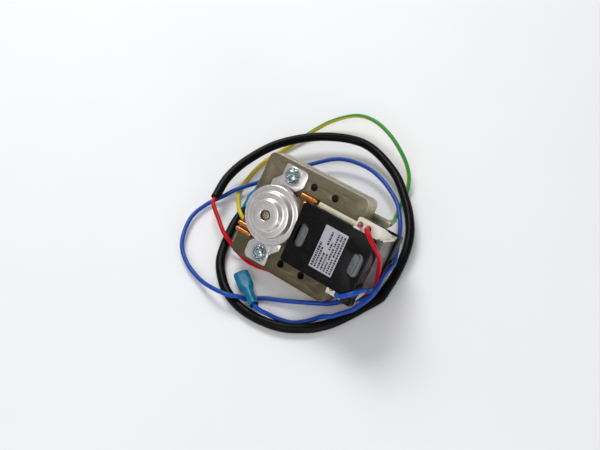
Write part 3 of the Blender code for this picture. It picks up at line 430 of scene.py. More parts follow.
def make_scratches():
    """Fine straight scratches, as a height and as a mask."""
    inputs = {
        "Vector": ("Vector", None),
        "Scale": ("Float", 900.0),
        "Amount": ("Float", 0.5),
    }
    group, into, out = new_group("scratches", inputs, {"Mask": "Float", "Height": "Float"})
    total = None
    for angle, stretch in ((0.5, 0.02), (-0.9, 0.03), (1.9, 0.015)):
        place = put(
            group,
            "ShaderNodeMapping",
            {"Vector": into.outputs["Vector"], "Rotation": (0.2, 0.1, angle),
             "Scale": (stretch, 1.0, 0.3)},
        )
        lines = noise(group, place.outputs[0], into.outputs["Scale"], 2.0, 0.5)
        lines = ramp(group, lines, 0.66, 0.74)
        total = lines if total is None else maths(group, "MAXIMUM", total, lines)
    mask = maths(group, "MULTIPLY", total, into.outputs["Amount"], clamp=True)
    group.links.new(mask, out.inputs["Mask"])
    group.links.new(maths(group, "SUBTRACT", 1.0, mask), out.inputs["Height"])
    return group


def make_grain():
    """Fine surface grain, as a height for a bump."""
    inputs = {"Vector": ("Vector", None), "Scale": ("Float", 2500.0)}
    group, into, out = new_group("grain", inputs, {"Height": "Float"})
    fine = noise(group, into.outputs["Vector"], into.outputs["Scale"], 4.0, 0.6)
    group.links.new(fine, out.inputs["Height"])
    return group


CLOUDS = make_clouds()
SCRATCHES = make_scratches()
GRAIN = make_grain()


def group_node(tree, group, **values):
    node = tree.nodes.new("ShaderNodeGroup")
    node.node_tree = group
    for key, value in values.items():
        key = key.capitalize()
        if isinstance(value, bpy.types.NodeSocket):
            tree.links.new(value, node.inputs[key])
        elif isinstance(value, tuple):
            node.inputs[key].default_value = (*value[:3], 1.0)
        else:
            node.inputs[key].default_value = value
    return node


def new_finish(name, roughness=0.4, metallic=0.0, **plain):
    """Material with its Principled shader; plain values go on the shader's sockets."""
    material = bpy.data.materials.new(name)
    material.use_nodes = True
    tree = material.node_tree
    shader = tree.nodes["Principled BSDF"]
    shader.inputs["Roughness"].default_value = roughness
    shader.inputs["Metallic"].default_value = metallic
    for key, value in plain.items():
        shader.inputs[key.replace("_", " ")].default_value = value
    return material, tree, shader


def feed(shader, socket, value):
    shader.id_data.links.new(value, shader.inputs[socket])


def patches(tree, space, scale, light, dark):
    return group_node(tree, CLOUDS, vector=space, scale=scale, light=light, dark=dark)


def axes(tree, space):
    """The three coordinates of a vector, by their letters."""
    return put(tree, "ShaderNodeSeparateXYZ", {"Vector": space}).outputs


def object_space(tree):
    return tree.nodes.new("ShaderNodeTexCoord").outputs["Object"]


def motor_space(tree):
    """Object coordinates turned back into the motor's own frame, in metres."""
    node = put(tree, "ShaderNodeMapping", {"Vector": object_space(tree)}, vector_type="TEXTURE")
    node.inputs["Location"].default_value = Vector(MOTOR_PLACE) * MM
    node.inputs["Rotation"].default_value = (LEAN, 0, 0)
    return node.outputs[0]


def bump(tree, shader, height, strength, distance):
    node = put(
        tree, "ShaderNodeBump", {"Height": height, "Strength": strength, "Distance": distance * MM}
    )
    feed(shader, "Normal", node.outputs[0])


def grain_bump(tree, shader, space, scale, strength, distance):
    height = group_node(tree, GRAIN, vector=space, scale=scale).outputs["Height"]
    bump(tree, shader, height, strength, distance)


def cloudy(name, light, dark, scale, roughness, metallic=0.0, gloss=None, **plain):
    """Start of a finish: mottled colour, and roughness between the two values of gloss."""
    material, tree, shader = new_finish(name, roughness, metallic, **plain)
    space = motor_space(tree)
    clouds = patches(tree, space, scale, light, dark)
    feed(shader, "Base Color", clouds.outputs["Color"])
    if gloss:
        feed(shader, "Roughness", ramp(tree, clouds.outputs["Mask"], 0.0, 1.0, *gloss))
    return material, tree, shader, space, clouds.outputs


def mottled(name, light, dark, scale, roughness, metallic=0.0, bump_mm=0.01, scratch=0.0, **plain):
    """The common finish: mottled colour and roughness, fine grain and a few scratches."""
    gloss = (roughness - 0.08, roughness + 0.08)
    material, tree, shader, space, clouds = cloudy(
        name, light, dark, scale, roughness, metallic, gloss, **plain
    )
    height = group_node(tree, GRAIN, vector=space, scale=2500.0).outputs["Height"]
    if scratch:
        marks = group_node(tree, SCRATCHES, vector=space, scale=700.0, amount=scratch)
        pale = tuple(min(1.0, v * 1.5 + 0.05) for v in light)
        colour = blend_colours(tree, marks.outputs["Mask"], clouds["Color"], pale)
        feed(shader, "Base Color", colour)
        height = maths(tree, "MULTIPLY", height, marks.outputs["Height"])
    bump(tree, shader, height, 0.4, bump_mm)
    return material


def make_varnished_steel():
    """Olive varnish on steel sheets: blotchy on the face, bare at rubbed spots, with painted light
    on the upper arm and painted shade on the lower arm.
    """
    material, tree, shader = new_finish("varnished_laminations", 0.42, 0.5)
    space = motor_space(tree)
    face = patches(tree, space, 70.0, (0.165, 0.127, 0.062), (0.10, 0.075, 0.036))
    blotch = patches(tree, space, 260.0, (0.20, 0.165, 0.098), (0.10, 0.078, 0.045))
    colour = blend_colours(tree, 0.4, face.outputs["Color"], blotch.outputs["Color"])
    # Painted light: the face is painted paler and greyer towards the upper arm's outer corners.
    split = axes(tree, space)
    upper = ramp(tree, split["Y"], 5.0 * MM, 30.0 * MM)
    upper = maths(tree, "MULTIPLY", upper, 0.35)
    colour = blend_colours(tree, upper, colour, (0.27, 0.24, 0.165))
    # Painted shade: the face is painted darker towards the lower arm's outer edge.
    lower = ramp(tree, split["Y"], -14.0 * MM, -26.0 * MM)
    lower = maths(tree, "MULTIPLY", lower, 0.45)
    colour = blend_colours(tree, lower, colour, (0.055, 0.042, 0.022))
    marks = group_node(tree, SCRATCHES, vector=space, scale=1600.0, amount=0.12)
    colour = blend_colours(tree, marks.outputs["Mask"], colour, (0.46, 0.42, 0.33))
    feed(shader, "Base Color", colour)
    feed(shader, "Roughness", ramp(tree, blotch.outputs["Mask"], 0.0, 1.0, 0.34, 0.52))
    grain_bump(tree, shader, space, 1800.0, 0.35, 0.02)
    return material


def make_sheet_edge():
    """Cut edges of the sheets, paler and shinier than the varnished face."""
    material, tree, shader = new_finish("cut_sheet_edges", 0.35, 0.8)
    space = motor_space(tree)
    along = put(tree, "ShaderNodeMapping", {"Vector": space, "Scale": (1.0, 1.0, 9.0)})
    clouds = patches(tree, along.outputs[0], 160.0, (0.62, 0.57, 0.45), (0.37, 0.325, 0.235))
    feed(shader, "Base Color", clouds.outputs["Color"])
    feed(shader, "Roughness", ramp(tree, clouds.outputs["Mask"], 0.0, 1.0, 0.28, 0.45))
    return material


def make_drawn_metal():
    """Pressed bracket: satin, with faint rings from drawing and cloudy reflections."""
    material, tree, shader, space, clouds = cloudy(
        "satin_bracket", (0.83, 0.795, 0.765), (0.64, 0.60, 0.575), 120.0, 0.3, 0.8
    )
    split = axes(tree, space)
    flat = put(tree, "ShaderNodeCombineXYZ", {"X": split["X"], "Y": split["Y"]})
    radius = put(tree, "ShaderNodeVectorMath", {0: flat.outputs[0]}, operation="LENGTH")
    rings = noise(tree, radius.outputs["Value"], 2600.0, 3.0, 0.6, dimensions="1D")
    marks = group_node(tree, SCRATCHES, vector=space, scale=800.0, amount=0.35)
    pale = (0.80, 0.77, 0.74)
    feed(shader, "Base Color", blend_colours(tree, marks.outputs["Mask"], clouds["Color"], pale))
    rough = maths(tree, "MULTIPLY_ADD", rings, 0.12, 0.25)
    rough = maths(tree, "MULTIPLY_ADD", clouds["Mask"], 0.06, rough)
    feed(shader, "Roughness", rough)
    bump(tree, shader, rings, 0.25, 0.012)
    return material


def make_zinc():
    """Bright zinc with a patchy blue and green passivation tint."""
    material, tree, shader, space, clouds = cloudy(
        "bright_zinc", (0.56, 0.62, 0.65), (0.30, 0.38, 0.41), 420.0, 0.2, 1.0, (0.14, 0.3)
    )
    tint = ramp(tree, noise(tree, space, 190.0, 2.0, 0.5), 0.52, 0.68)
    tint = maths(tree, "MULTIPLY", tint, 0.5)
    feed(shader, "Base Color", blend_colours(tree, tint, clouds["Color"], (0.22, 0.52, 0.40)))
    return material


def make_black_plastic():
    """Glossy black moulding with faint flow marks and a little dust."""
    material, tree, shader, space, clouds = cloudy(
        "black_cover", (0.003, 0.003, 0.0035), (0.006, 0.0055, 0.0055), 110.0, 0.3,
        gloss=(0.24, 0.38), Specular_IOR_Level=0.14
    )
    dust = ramp(tree, noise(tree, space, 2600.0, 1.0, 0.4), 0.72, 0.78)
    dust = maths(tree, "MULTIPLY", dust, 0.2)
    feed(shader, "Base Color", blend_colours(tree, dust, clouds["Color"], (0.16, 0.15, 0.14)))
    grain_bump(tree, shader, space, 420.0, 0.25, 0.02)
    return material


def make_wire_skin(name, light, dark, roughness=0.32, shine=0.25):
    """PVC insulation: slightly uneven gloss along the wire, from the tube's own UV."""
    material, tree, shader = new_finish(name, roughness, 0.0, Specular_IOR_Level=shine)
    uv = tree.nodes.new("ShaderNodeTexCoord").outputs["UV"]
    along = put(tree, "ShaderNodeMapping", {"Vector": uv, "Scale": (60.0, 3.0, 1.0)})
    streak = noise(tree, along.outputs[0], 3.0, 3.0, 0.6)
    feed(shader, "Base Color", blend_colours(tree, ramp(tree, streak, 0.35, 0.7), light, dark))
    feed(shader, "Roughness", ramp(tree, streak, 0.3, 0.7, roughness - 0.07, roughness + 0.1))
    bump(tree, shader, streak, 0.2, 0.03)
    return material, tree, shader, uv


def make_earth_skin():
    """Green wire with a yellow stripe down one side, from the tube's own UV."""
    material, tree, shader, uv = make_wire_skin(
        "green_yellow_insulation", (0.035, 0.30, 0.045), (0.025, 0.22, 0.035)
    )
    green = shader.inputs["Base Color"].links[0].from_socket
    split = axes(tree, uv)
    from_middle = maths(tree, "ABSOLUTE", maths(tree, "SUBTRACT", split["Y"], 0.5))
    stripe = ramp(tree, from_middle, 0.255, 0.235)
    colour = blend_colours(tree, stripe, green, (0.62, 0.47, 0.015))
    feed(shader, "Base Color", colour)
    return material


def make_tape():
    """Glossy grey coil tape with wrapped layers that show as steps."""
    material, tree, shader, space, clouds = cloudy(
        "grey_coil_tape", (0.23, 0.225, 0.225), (0.16, 0.155, 0.155), 90.0, 0.28
    )
    split = axes(tree, space)
    # Painted shade: the end by the upper terminal block is painted darker.
    upper = ramp(tree, split["Y"], 5.0 * MM, 12.0 * MM)
    upper = maths(tree, "MULTIPLY", upper, 0.75)
    colour = blend_colours(tree, upper, clouds["Color"], (0.03, 0.026, 0.028))
    feed(shader, "Base Color", colour)
    wobble = maths(tree, "MULTIPLY_ADD", noise(tree, space, 90.0), 1.2 * MM, split["Y"])
    layer = maths(tree, "FRACT", maths(tree, "DIVIDE", wobble, 8.0 * MM))
    creases = noise(tree, space, 260.0, 3.0, 0.55)
    height = maths(tree, "MULTIPLY_ADD", layer, 0.5, creases)
    bump(tree, shader, height, 0.5, 0.08)
    return material


def make_insulator_skin():
    """Cyan vinyl sleeve that lets some light through."""
    material, tree, shader = new_finish(
        "cyan_vinyl", 0.24, 0.0, Transmission_Weight=0.2, IOR=1.45, Specular_IOR_Level=0.25
    )
    space = object_space(tree)
    clouds = patches(tree, space, 120.0, (0.003, 0.21, 0.37), (0.002, 0.13, 0.25))
    feed(shader, "Base Color", clouds.outputs["Color"])
    grain_bump(tree, shader, space, 500.0, 0.3, 0.05)
    return material


STEEL = make_varnished_steel()
SHEET_EDGE = make_sheet_edge()
# Near-black colour for the walls of the holes: painted shade in the holes.
HOLE_SHADE = cloudy("painted_hole_shade", (0.022, 0.018, 0.010), (0.010, 0.008, 0.005), 500, 0.5, 0.2)[0]
BRACKET = make_drawn_metal()
ZINC = make_zinc()
BLACK = make_black_plastic()
TAPE = make_tape()
CYAN = make_insulator_skin()
PRINT = cloudy("label_print", (0.015, 0.015, 0.02), (0.04, 0.038, 0.045), 900, 0.5,
               Specular_IOR_Level=0.2)[0]
COPPER = mottled("bare_copper", (0.86, 0.30, 0.07), (0.62, 0.18, 0.05), 300, 0.3, 1.0, scratch=0.3)
NYLON = mottled("cream_nylon", (0.80, 0.77, 0.66), (0.70, 0.66, 0.53), 80, 0.42,
                Subsurface_Weight=0.15, Subsurface_Scale=0.002)
CLIP = mottled("grey_clip", (0.15, 0.16, 0.165), (0.08, 0.09, 0.095), 150, 0.14)
LABEL = mottled("silver_label", (0.50, 0.48, 0.52), (0.43, 0.41, 0.45), 160, 0.34, 0.25,
                bump_mm=0.006)
BRONZE = mottled("sintered_bronze", (0.46, 0.31, 0.15), (0.28, 0.19, 0.10), 500, 0.5, 0.9)
SPRING = mottled("spring_steel", (0.42, 0.42, 0.43), (0.30, 0.30, 0.31), 200, 0.32, 1.0)
FELT = mottled("oil_felt", (0.50, 0.41, 0.27), (0.33, 0.26, 0.16), 700, 0.9, bump_mm=0.15)
CORE = mottled("turned_rotor", (0.30, 0.29, 0.28), (0.19, 0.18, 0.17), 250, 0.4, 0.9, scratch=0.4)
CAST = mottled("cast_aluminium", (0.58, 0.58, 0.59), (0.42, 0.42, 0.43), 400, 0.45, 1.0,
               bump_mm=0.04)
SHAFT = mottled("ground_shaft", (0.66, 0.60, 0.50), (0.46, 0.40, 0.31), 300, 0.22, 1.0,
                scratch=0.3)
WASHER = mottled("natural_nylon", (0.78, 0.77, 0.70), (0.68, 0.66, 0.58), 200, 0.5)
TIN = mottled("tinned_brass", (0.34, 0.33, 0.25), (0.22, 0.21, 0.15), 350, 0.33, 0.9, scratch=0.4)
BRASS = mottled("brass_contact", (0.72, 0.50, 0.20), (0.50, 0.34, 0.12), 300, 0.28, 1.0)
ENAMEL = mottled("enamelled_copper", (0.45, 0.17, 0.06), (0.30, 0.10, 0.04), 900, 0.3, 0.7)
PINK = mottled("pink_sleeving", (0.62, 0.16, 0.20), (0.48, 0.10, 0.14), 400, 0.5)
RED_SKIN = make_wire_skin("red_insulation", (0.52, 0.004, 0.013), (0.40, 0.003, 0.009),
                          shine=0.14)[0]
BLUE_SKIN = make_wire_skin("blue_insulation", (0.005, 0.068, 0.39), (0.004, 0.045, 0.28))[0]
SLEEVE_SKIN = make_wire_skin("black_sleeving", (0.0022, 0.0022, 0.0022), (0.004, 0.004, 0.0038),
                             0.34, 0.09)[0]
EARTH_SKIN = make_earth_skin()


# Lamination stack


def make_sheet():
    """One steel sheet of the stack, lying from z 0 to its thickness."""
    sheet = block("sheet", (-18.0, 45.6), (-HALF_WIDTH, HALF_WIDTH), (0, SHEET_THICKNESS))
    round_edges(sheet, 3.5, upright, 8)
    tall = (-1, 2)
    window = block("window", (WINDOW_LEFT, 60.0), (-WINDOW_HALF, WINDOW_HALF), tall)
    cut(sheet, window, rod("bore", 0, 0, tall, BORE, 96))
    for y in (-WINDOW_HALF - 0.6, WINDOW_HALF + 0.6):
        cut(sheet, block("groove", (CORE_X - 3.0, CORE_X + 3.0), (y - 0.61, y + 0.61), tall))
    for side in (-1, 1):
        tools = [rod("screw_hole", 0, side * SCREW_Y, tall, SCREW_HOLE, 32)]
        for x in MOUNTING_HOLES_X:
            tools.append(rod("mounting_hole", x, side * SCREW_Y, tall, 2.1, 40))
        for x, y in RING_LEGS.values():
            cx, cy = side * x, side * y
            tools.append(block("ring_leg", (cx - 1.3, cx + 1.3), (cy - 1.3, cy + 1.3), tall))
        x = sorted((side * WINDOW_LEFT, side * 20.2))
        y = sorted((side * 12.1, side * 18.3))
        tools.append(block("ring_notch", x, y, tall))
        cut(sheet, *tools)
    return cut(sheet, rod("rivet_hole", *RIVET, tall, 1.5, 24))


def stamp_marks(sheet):
    """Shallow press marks on the front sheet: small dimples and short dashes."""
    depth = (SHEET_THICKNESS - 0.12, 1)
    dimples = ((32.1, 23.2, 0.35), (21.7, 23.9, 0.3), (38.7, -21.4, 0.35), (-11, 27, 0.3))
    marks = [rod("dimple", x, y, depth, radius, 16) for x, y, radius in dimples]
    for (x0, y0), (x1, y1) in (((31.5, 26.0), (38.7, 26.9)), ((31.8, -26.5), (38.2, -27.2)),
                               ((-14.6, 24.4), (-12.6, 27.6)), ((-12.6, 27.6), (-9.4, 27.0))):
        length = math.hypot(x1 - x0, y1 - y0)
        dash = block("dash", (-length / 2, length / 2), (-0.22, 0.22), depth)
        dash.location = Vector(((x0 + x1) / 2, (y0 + y1) / 2, 0)) * MM
        dash.rotation_euler = (0, 0, math.atan2(y1 - y0, x1 - x0))
        marks.append(apply_place(dash))
    return cut(sheet, *marks)


def in_a_hole(point):
    """Whether a point lies on the wall of a screw hole or a fixing hole."""
    reach = 2.6
    off = abs(point.y) - SCREW_Y
    return any(math.hypot(point.x - x, off) < reach for x in (0, *MOUNTING_HOLES_X))


def make_stack():
    plain = make_sheet()
    shake = random.Random(7)
    copies = []
    for i in range(SHEETS):
        front = i == SHEETS - 1
        copy = twin(plain, f"sheet_{i}")
        if front:
            fuse(copy, rod("plug", *RIVET, (0, SHEET_THICKNESS), 1.6, 24))
            stamp_marks(copy)
        for material in (STEEL, SHEET_EDGE, HOLE_SHADE):
            copy.data.materials.append(material)
        soften(copy, 0.16 if front else 0.07, 2 if front else 1, 40.0, 40.0, 1)
        # Upright faces take the pale cut edge; those on the hole walls take the painted shade of
        # the holes.
        for face in copy.data.polygons:
            if abs(face.normal.z) < 0.5:
                face.material_index = 2 if in_a_hole(face.center / MM) else 1
        inner = i > 0 and not front
        x, y = (shake.uniform(-0.06, 0.06) if inner else 0.0 for _ in range(2))
        # The front sheet closes over the rivet's end.
        move(copy, x, y, REAR + i * SHEET_PITCH + (0.05 if front else 0.015))
        copies.append(copy)
    bpy.data.objects.remove(plain, do_unlink=True)
    stack = join("lamination_stack", copies)
    settle(stack, (STEEL, SHEET_EDGE, HOLE_SHADE), ["stator_stack"])


def make_shading_ring(side, leg, y, label):
    x0, x1 = leg - 1.0, 19.4
    hoop = block(f"copper_ring_{label}", (x0, x1), (y - 1.0, y + 1.0), (REAR - 2.3, 2.3))
    cut(hoop, block("inside", (x0 + 2.0, x1 - 2.0), (y - 2.0, y + 2.0), (REAR - 0.3, 0.3)))
    soften(hoop, 0.75, 3)
    if side < 0:
        turn(hoop, 180)
    settle(hoop, (COPPER,), [f"shading_ring_{label}"])


# Bearing brackets


def cup_points():
    """Section of the cup: the outside from the boss hole down, then back inside."""
    outside = [
        (3.0, 13.75), (3.25, 14.0), (7.5, 14.0), (7.95, 13.88), (8.28, 13.55), (8.4, 13.1),
        (8.42, 11.7), (8.6, 11.1), (9.1, 10.72), (9.8, 10.6), (11.4, 10.6), (11.9, 10.5),
        (12.3, 10.2), (12.5, 9.7), (12.52, 8.1), (12.7, 7.5), (13.2, 7.1), (13.8, 7.0),
        (15.3, 7.0), (15.9, 6.88), (16.32, 6.5), (CUP_RADIUS, 5.9), (CUP_RADIUS, 2.9),
    ]
    inside = [
        (CUP_INSIDE, 2.9), (CUP_INSIDE, 5.3), (14.9, 5.8), (12.6, 5.85), (11.7, 6.2), (11.3, 6.9),
        (11.3, 9.1), (10.9, 9.4), (8.4, 9.45), (7.5, 9.8), (7.2, 10.4), (7.2, 12.5),
        (6.9, 12.8), (3.0, 12.8), (3.0, 13.75),
    ]
    return outside + inside


def make_ear(side):
    """Lug for the screw: a plate with a slanted foot and a pressed ring.

    The lower lug is the upper one turned half round the shaft.
    """
    ear = block("ear", (-5.8, 8.7), (14.0, 28.7), (0.3, 1.5))
    trim(ear, [((7.0, 28.7, 0), (8.9, 1.5, 0)), ((8.5, 19.8, 0), (4.2, -3.3, 0))])
    foot = block("foot", (-10.2, -5.0), (13.6, 21.4), (0.3, 1.5))
    trim(foot, [((-5.8, 21.4, 0), (-6.2, 4.4, 0))])
    fuse(ear, foot)
    round_edges(ear, 1.2, lambda a, b: upright(a, b) and a.y > 19.0, 5)
    ring = turned("pressed_ring", [(5.2, 1.2), (5.2, 1.5), (4.95, 1.8), (4.6, 1.8), (4.35, 1.5),
                                   (4.35, 1.2), (5.2, 1.2)], 48)
    move(ring, 0, SCREW_Y, 0)
    fuse(ear, ring)
    cut(ear, rod("hole", 0, SCREW_Y, (-1, 3), SCREW_HOLE, 32))
    if side < 0:
        turn(ear, 180)
    return ear


def make_bracket(end):
    cup = turned(f"{end}_bracket_pressing", cup_points(), 96 if end == "front" else 64)
    wall = [(CUP_INSIDE, 0.3), (CUP_RADIUS, 0.3), (CUP_RADIUS, 5.9), (CUP_INSIDE, 5.9),
            (CUP_INSIDE, 0.3)]
    for side in (1, -1):
        riser = turned("riser", wall, 20, 56.0, side * 90.0 - 28.0)
        fuse(cup, riser, make_ear(side))
    # Beside each lug the wall ends in a short rim that is turned outwards.
    rim = [
        (15.6, 4.6), (CUP_RADIUS, 4.6), (16.62, 3.95), (17.0, 3.5), (17.5, 3.35), (17.75, 3.0),
        (17.5, 2.62), (16.6, 2.62), (15.9, 2.9), (15.6, 3.4), (15.6, 4.6),
    ]
    for start in (27.0, 207.0):
        fuse(cup, turned("rim", rim, 20, 46.0, start))
    soften(cup, 0.18, 2, 40.0, 40.0)
    if end == "rear":
        mirror(cup, REAR / 2)
    settle(cup, (BRACKET,), [f"{end}_bracket"])


# Screws and washers


def make_screw(side, label):
    under = 2.7
    head = [
        (0.0, under + 2.3), (1.5, under + 2.26), (2.5, under + 2.05), (3.15, under + 1.65),
        (3.5, under + 1.1), (3.6, under + 0.5), (3.6, under + 0.12), (3.5, under), (1.9, under),
        (1.9, -18.0), (1.55, -18.4), (0.0, -18.4),
    ]
    screw = turned(f"cross_head_screw_{label}", head, 48)
    for long, short, deep in ((2.2, 0.45, 1.5), (0.45, 2.2, 1.5), (1.0, 1.0, 0.9)):
        wing = block("wing", (-long, long), (-short, short), (under + 2.4 - deep, under + 3))
        cut(screw, wing)
    soften(screw, 0.1, 2, 40.0, 40.0)
    turn(screw, 31 if side > 0 else 12)
    move(screw, 0, side * SCREW_Y, 0)
    settle(screw, (ZINC,), [f"screw_{label}"])


def make_star_washer(side, label):
    """External-tooth washer: a ring whose teeth are twisted up and down."""
    ring = turned("ring", [(2.2, 1.85), (3.4, 1.85), (3.4, 2.35), (2.2, 2.35), (2.2, 1.85)], 48)
    teeth = [ring]
    for i in range(12):
        tooth = block("tooth", (3.3, 4.3), (-0.42, 0.42), (1.9, 2.3))
        tooth.rotation_euler = (0.35, 0, math.radians(30 * i))
        apply_place(tooth)
        lift = 2.1 - sum(v.co.z for v in tooth.data.vertices) / 8 / MM
        move(tooth, 0, 0, lift)
        teeth.append(tooth)
    washer = join(f"toothed_washer_{label}", teeth)
    soften(washer, 0.06, 1, 40.0)
    move(washer, 0, side * SCREW_Y, 0)
    settle(washer, (ZINC,), [f"star_washer_{label}"])


# Coil cover, clips and label


def capsule(name, x, length, width, z):
    """Upright oblong with round ends, its long way along Y."""
    radius = width / 2
    body = block(name, (x - radius, x + radius), (-length / 2, length / 2), z)
    return round_edges(body, radius * 0.999, upright, 10)


def make_front_cover():
    cover = block("front_cover_moulding", (COVER_LEFT, COVER_RIGHT), (-COVER_Y, COVER_Y),
                  (4.0, COVER_TOP))
    round_edges(cover, 1.6, upright, 5)
    wall = 1.4
    inside = (COVER_LEFT + wall, COVER_RIGHT - wall)
    cut(cover, block("hollow", inside, (-20, 20), (3, COVER_TOP - wall)))
    for side in (-1, 1):
        y = sorted((side * 15.9, side * 18.0))
        cut(cover, block("window_side", (COVER_LEFT - 1, COVER_RIGHT + 1), y, (3.7, 8.5)))
        y = sorted((side * COVER_Y, side * (COVER_Y - 0.9)))
        fuse(cover, block("side_lip", (COVER_LEFT + 1.2, 45.9), y, (8.5, COVER_TOP - 0.6)))
    for x in (CORE_X - SLOT_OFFSET, CORE_X + SLOT_OFFSET):
        cut(cover, capsule("slot", x, 13.0, 6.4, (TAPE_TOP - 1, COVER_TOP + 1)))
    # Two snap hooks that look out of the slots' outer ends
    for x, y in ((18.9, -5.4), (60.4, -7.6)):
        hook = turned("hook", [(0.7, 13.2), (1.25, 13.2), (1.25, 14.5), (0.7, 14.5), (0.7, 13.2)],
                      16, 250.0, 60.0)
        move(hook, x, y, 0)
        fuse(cover, hook)
    soften(cover, 0.45, 3, 40.0, 45.0)
    settle(cover, (BLACK,), ["coil_cover_front"])


def make_bobbin_rim():
    """Cream edge of the bobbin that rests on the upper arm beside the cover."""
    rim = block("bobbin_rim", (20.5, 45.4), (15.9, 17.9), (0.1, 1.5))
    soften(rim, 0.3, 3)
    settle(rim, (NYLON,))


def make_block_flap():
    """Black flap of the cover over the lower block, beside its lead and round its end."""
    flap = block("lower_block_flap", (55.4, 61.3), (-22.3, -16.95), (7.05, 7.65))
    fuse(flap, block("flap_end", (60.6, 61.3), (-22.3, -16.95), (1.0, 7.65)))
    soften(flap, 0.2, 2)
    settle(flap, (BLACK,))


def make_clip(side, label):
    x = CORE_X + side * (SLOT_OFFSET - 1.3)
    clip = capsule(f"slot_clip_{label}", x, 11.2, 3.5, (TAPE_TOP + 0.35, TAPE_TOP + 1.75))
    soften(clip, 0.65, 4, 40.0, 60.0)
    settle(clip, (CLIP,), [f"cover_clip_{label}"])


def make_label():
    left, top = 34.4, 14.4
    sheet = block("silver_label", (left, left + 13.8), (-11.8, 11.8), (top - 0.15, top))
    round_edges(sheet, 0.4, upright, 3)
    soften(sheet, 0.04, 1)
    settle(sheet, (LABEL,), ["rating_label"])

    # Plain bars where the label's lines stand; they are no letters.
    pick = random.Random(11)
    bars = []
    rows = (
        (0.7, 1.35, ((-10.8, 2.6),)),
        (2.6, 1.1, ((-10.8, 0.4),)),
        (4.6, 1.15, ((-10.8, -1.5), (2.6, 10.2))),
        (6.6, 1.0, ((-10.8, -1.0), (0.6, 4.8))),
        (8.4, 1.05, ((-10.8, -5.2), (-4.2, 2.2), (3.2, 10.6))),
        (10.2, 1.05, ((-10.8, -3.0), (-1.8, 6.2), (7.2, 10.8))),
        (12.0, 1.1, ((-10.8, 10.8),)),
    )
    for offset, height, runs in rows:
        x = left + offset
        for start, end in runs:
            y = start
            while y < end - 0.4:
                width = min(pick.uniform(0.6, 1.3), end - y)
                bars.append(block("bar", (x, x + height), (y, y + width), (top, top + 0.03)))
                y += width + pick.uniform(0.25, 0.4)
    print_lines = join("label_bars", bars)
    settle(print_lines, (PRINT,))


# Receptacle insulators


def receptacle_place(start, end):
    """Frame of a receptacle: X from its wire end to its mouth, Z upwards."""
    a, b = Vector(start) * MM, Vector(end) * MM
    x = (b - a).normalized()
    y = Vector((0, 0, 1)).cross(x).normalized()
    z = x.cross(y)
    return Matrix.Translation(a) @ Matrix((x, y, z)).transposed().to_4x4()


def make_insulator(number, start, end):
    """Vinyl sleeve: round over the crimp, flat over the contact, open at both ends."""
    skin = 0.55
    # Distance from the wire's end, half the width, half the height, and how square it is
    outside = [
        (0.0, 2.55, 2.55, 1.0), (0.25, 2.75, 2.75, 1.0), (0.7, 2.8, 2.8, 1.0),
        (3.0, 2.72, 2.72, 1.0), (6.5, 2.72, 2.72, 1.0), (9.0, 2.8, 2.8, 1.0),
        (10.5, 2.9, 2.82, 0.95), (12.0, 3.35, 2.84, 0.85), (13.2, 3.95, 2.86, 0.74),
        (14.4, 4.3, 2.9, 0.66), (16.0, 4.4, 2.9, 0.62), (20.0, 4.34, 2.84, 0.6),
        (23.6, 4.4, 2.9, 0.6), (24.6, 4.3, 2.8, 0.6), (25.0, 4.05, 2.55, 0.6),
    ]
    inside = [(x, a - skin, b - skin, p) for x, a, b, p in outside]
    inside[0] = (0.0, 2.1, 2.1, 1.0)
    inside[-1] = (25.0, 3.6, 2.1, 0.6)
    steps = 40
    mesh = bmesh.new()
    rings = []
    for x, half_width, half_height, power in [*outside, *reversed(inside)]:
        ring = []
        for i in range(steps):
            a = 2 * math.pi * i / steps
            c, s = math.cos(a), math.sin(a)
            y = half_width * math.copysign(abs(c) ** power, c)
            z = half_height * math.copysign(abs(s) ** power, s)
            ring.append(mesh.verts.new(Vector((x, y, z)) * MM))
        rings.append(ring)
    for i, ring in enumerate(rings):
        following = rings[(i + 1) % len(rings)]
        for k in range(steps):
            j = (k + 1) % steps
            mesh.faces.new((ring[k], ring[j], following[j], following[k]))
    piece = mesh_piece(f"vinyl_insulator_{number}", mesh)
    return settle(piece, (CYAN,), [f"receptacle_insulator_{number}"],
                  receptacle_place(start, end))


# Cords


def smooth_path(route, spacing):
    """Evenly spaced points on a smooth curve through the route's points."""
    points = [Vector(p) for p in route]
    ends = [points[0] * 2 - points[1], *points, points[-1] * 2 - points[-2]]
    fine = []
    for a, b, c, d in zip(ends, ends[1:], ends[2:], ends[3:]):
        for step in range(24):
            t = step / 24
            bend = 2 * b + (c - a) * t + (2 * a - 5 * b + 4 * c - d) * t * t
            fine.append(0.5 * (bend + (3 * b - a - 3 * c + d) * t**3))
    fine.append(points[-1])
    lengths = [0.0]
    for a, b in zip(fine, fine[1:]):
        lengths.append(lengths[-1] + (b - a).length)
    count = max(2, round(lengths[-1] / spacing))
    even = []
    k = 0
    for i in range(count + 1):
        target = lengths[-1] * i / count
        while k < len(fine) - 2 and lengths[k + 1] < target:
            k += 1
        span = lengths[k + 1] - lengths[k]
        even.append(fine[k].lerp(fine[k + 1], (target - lengths[k]) / span))
    return even


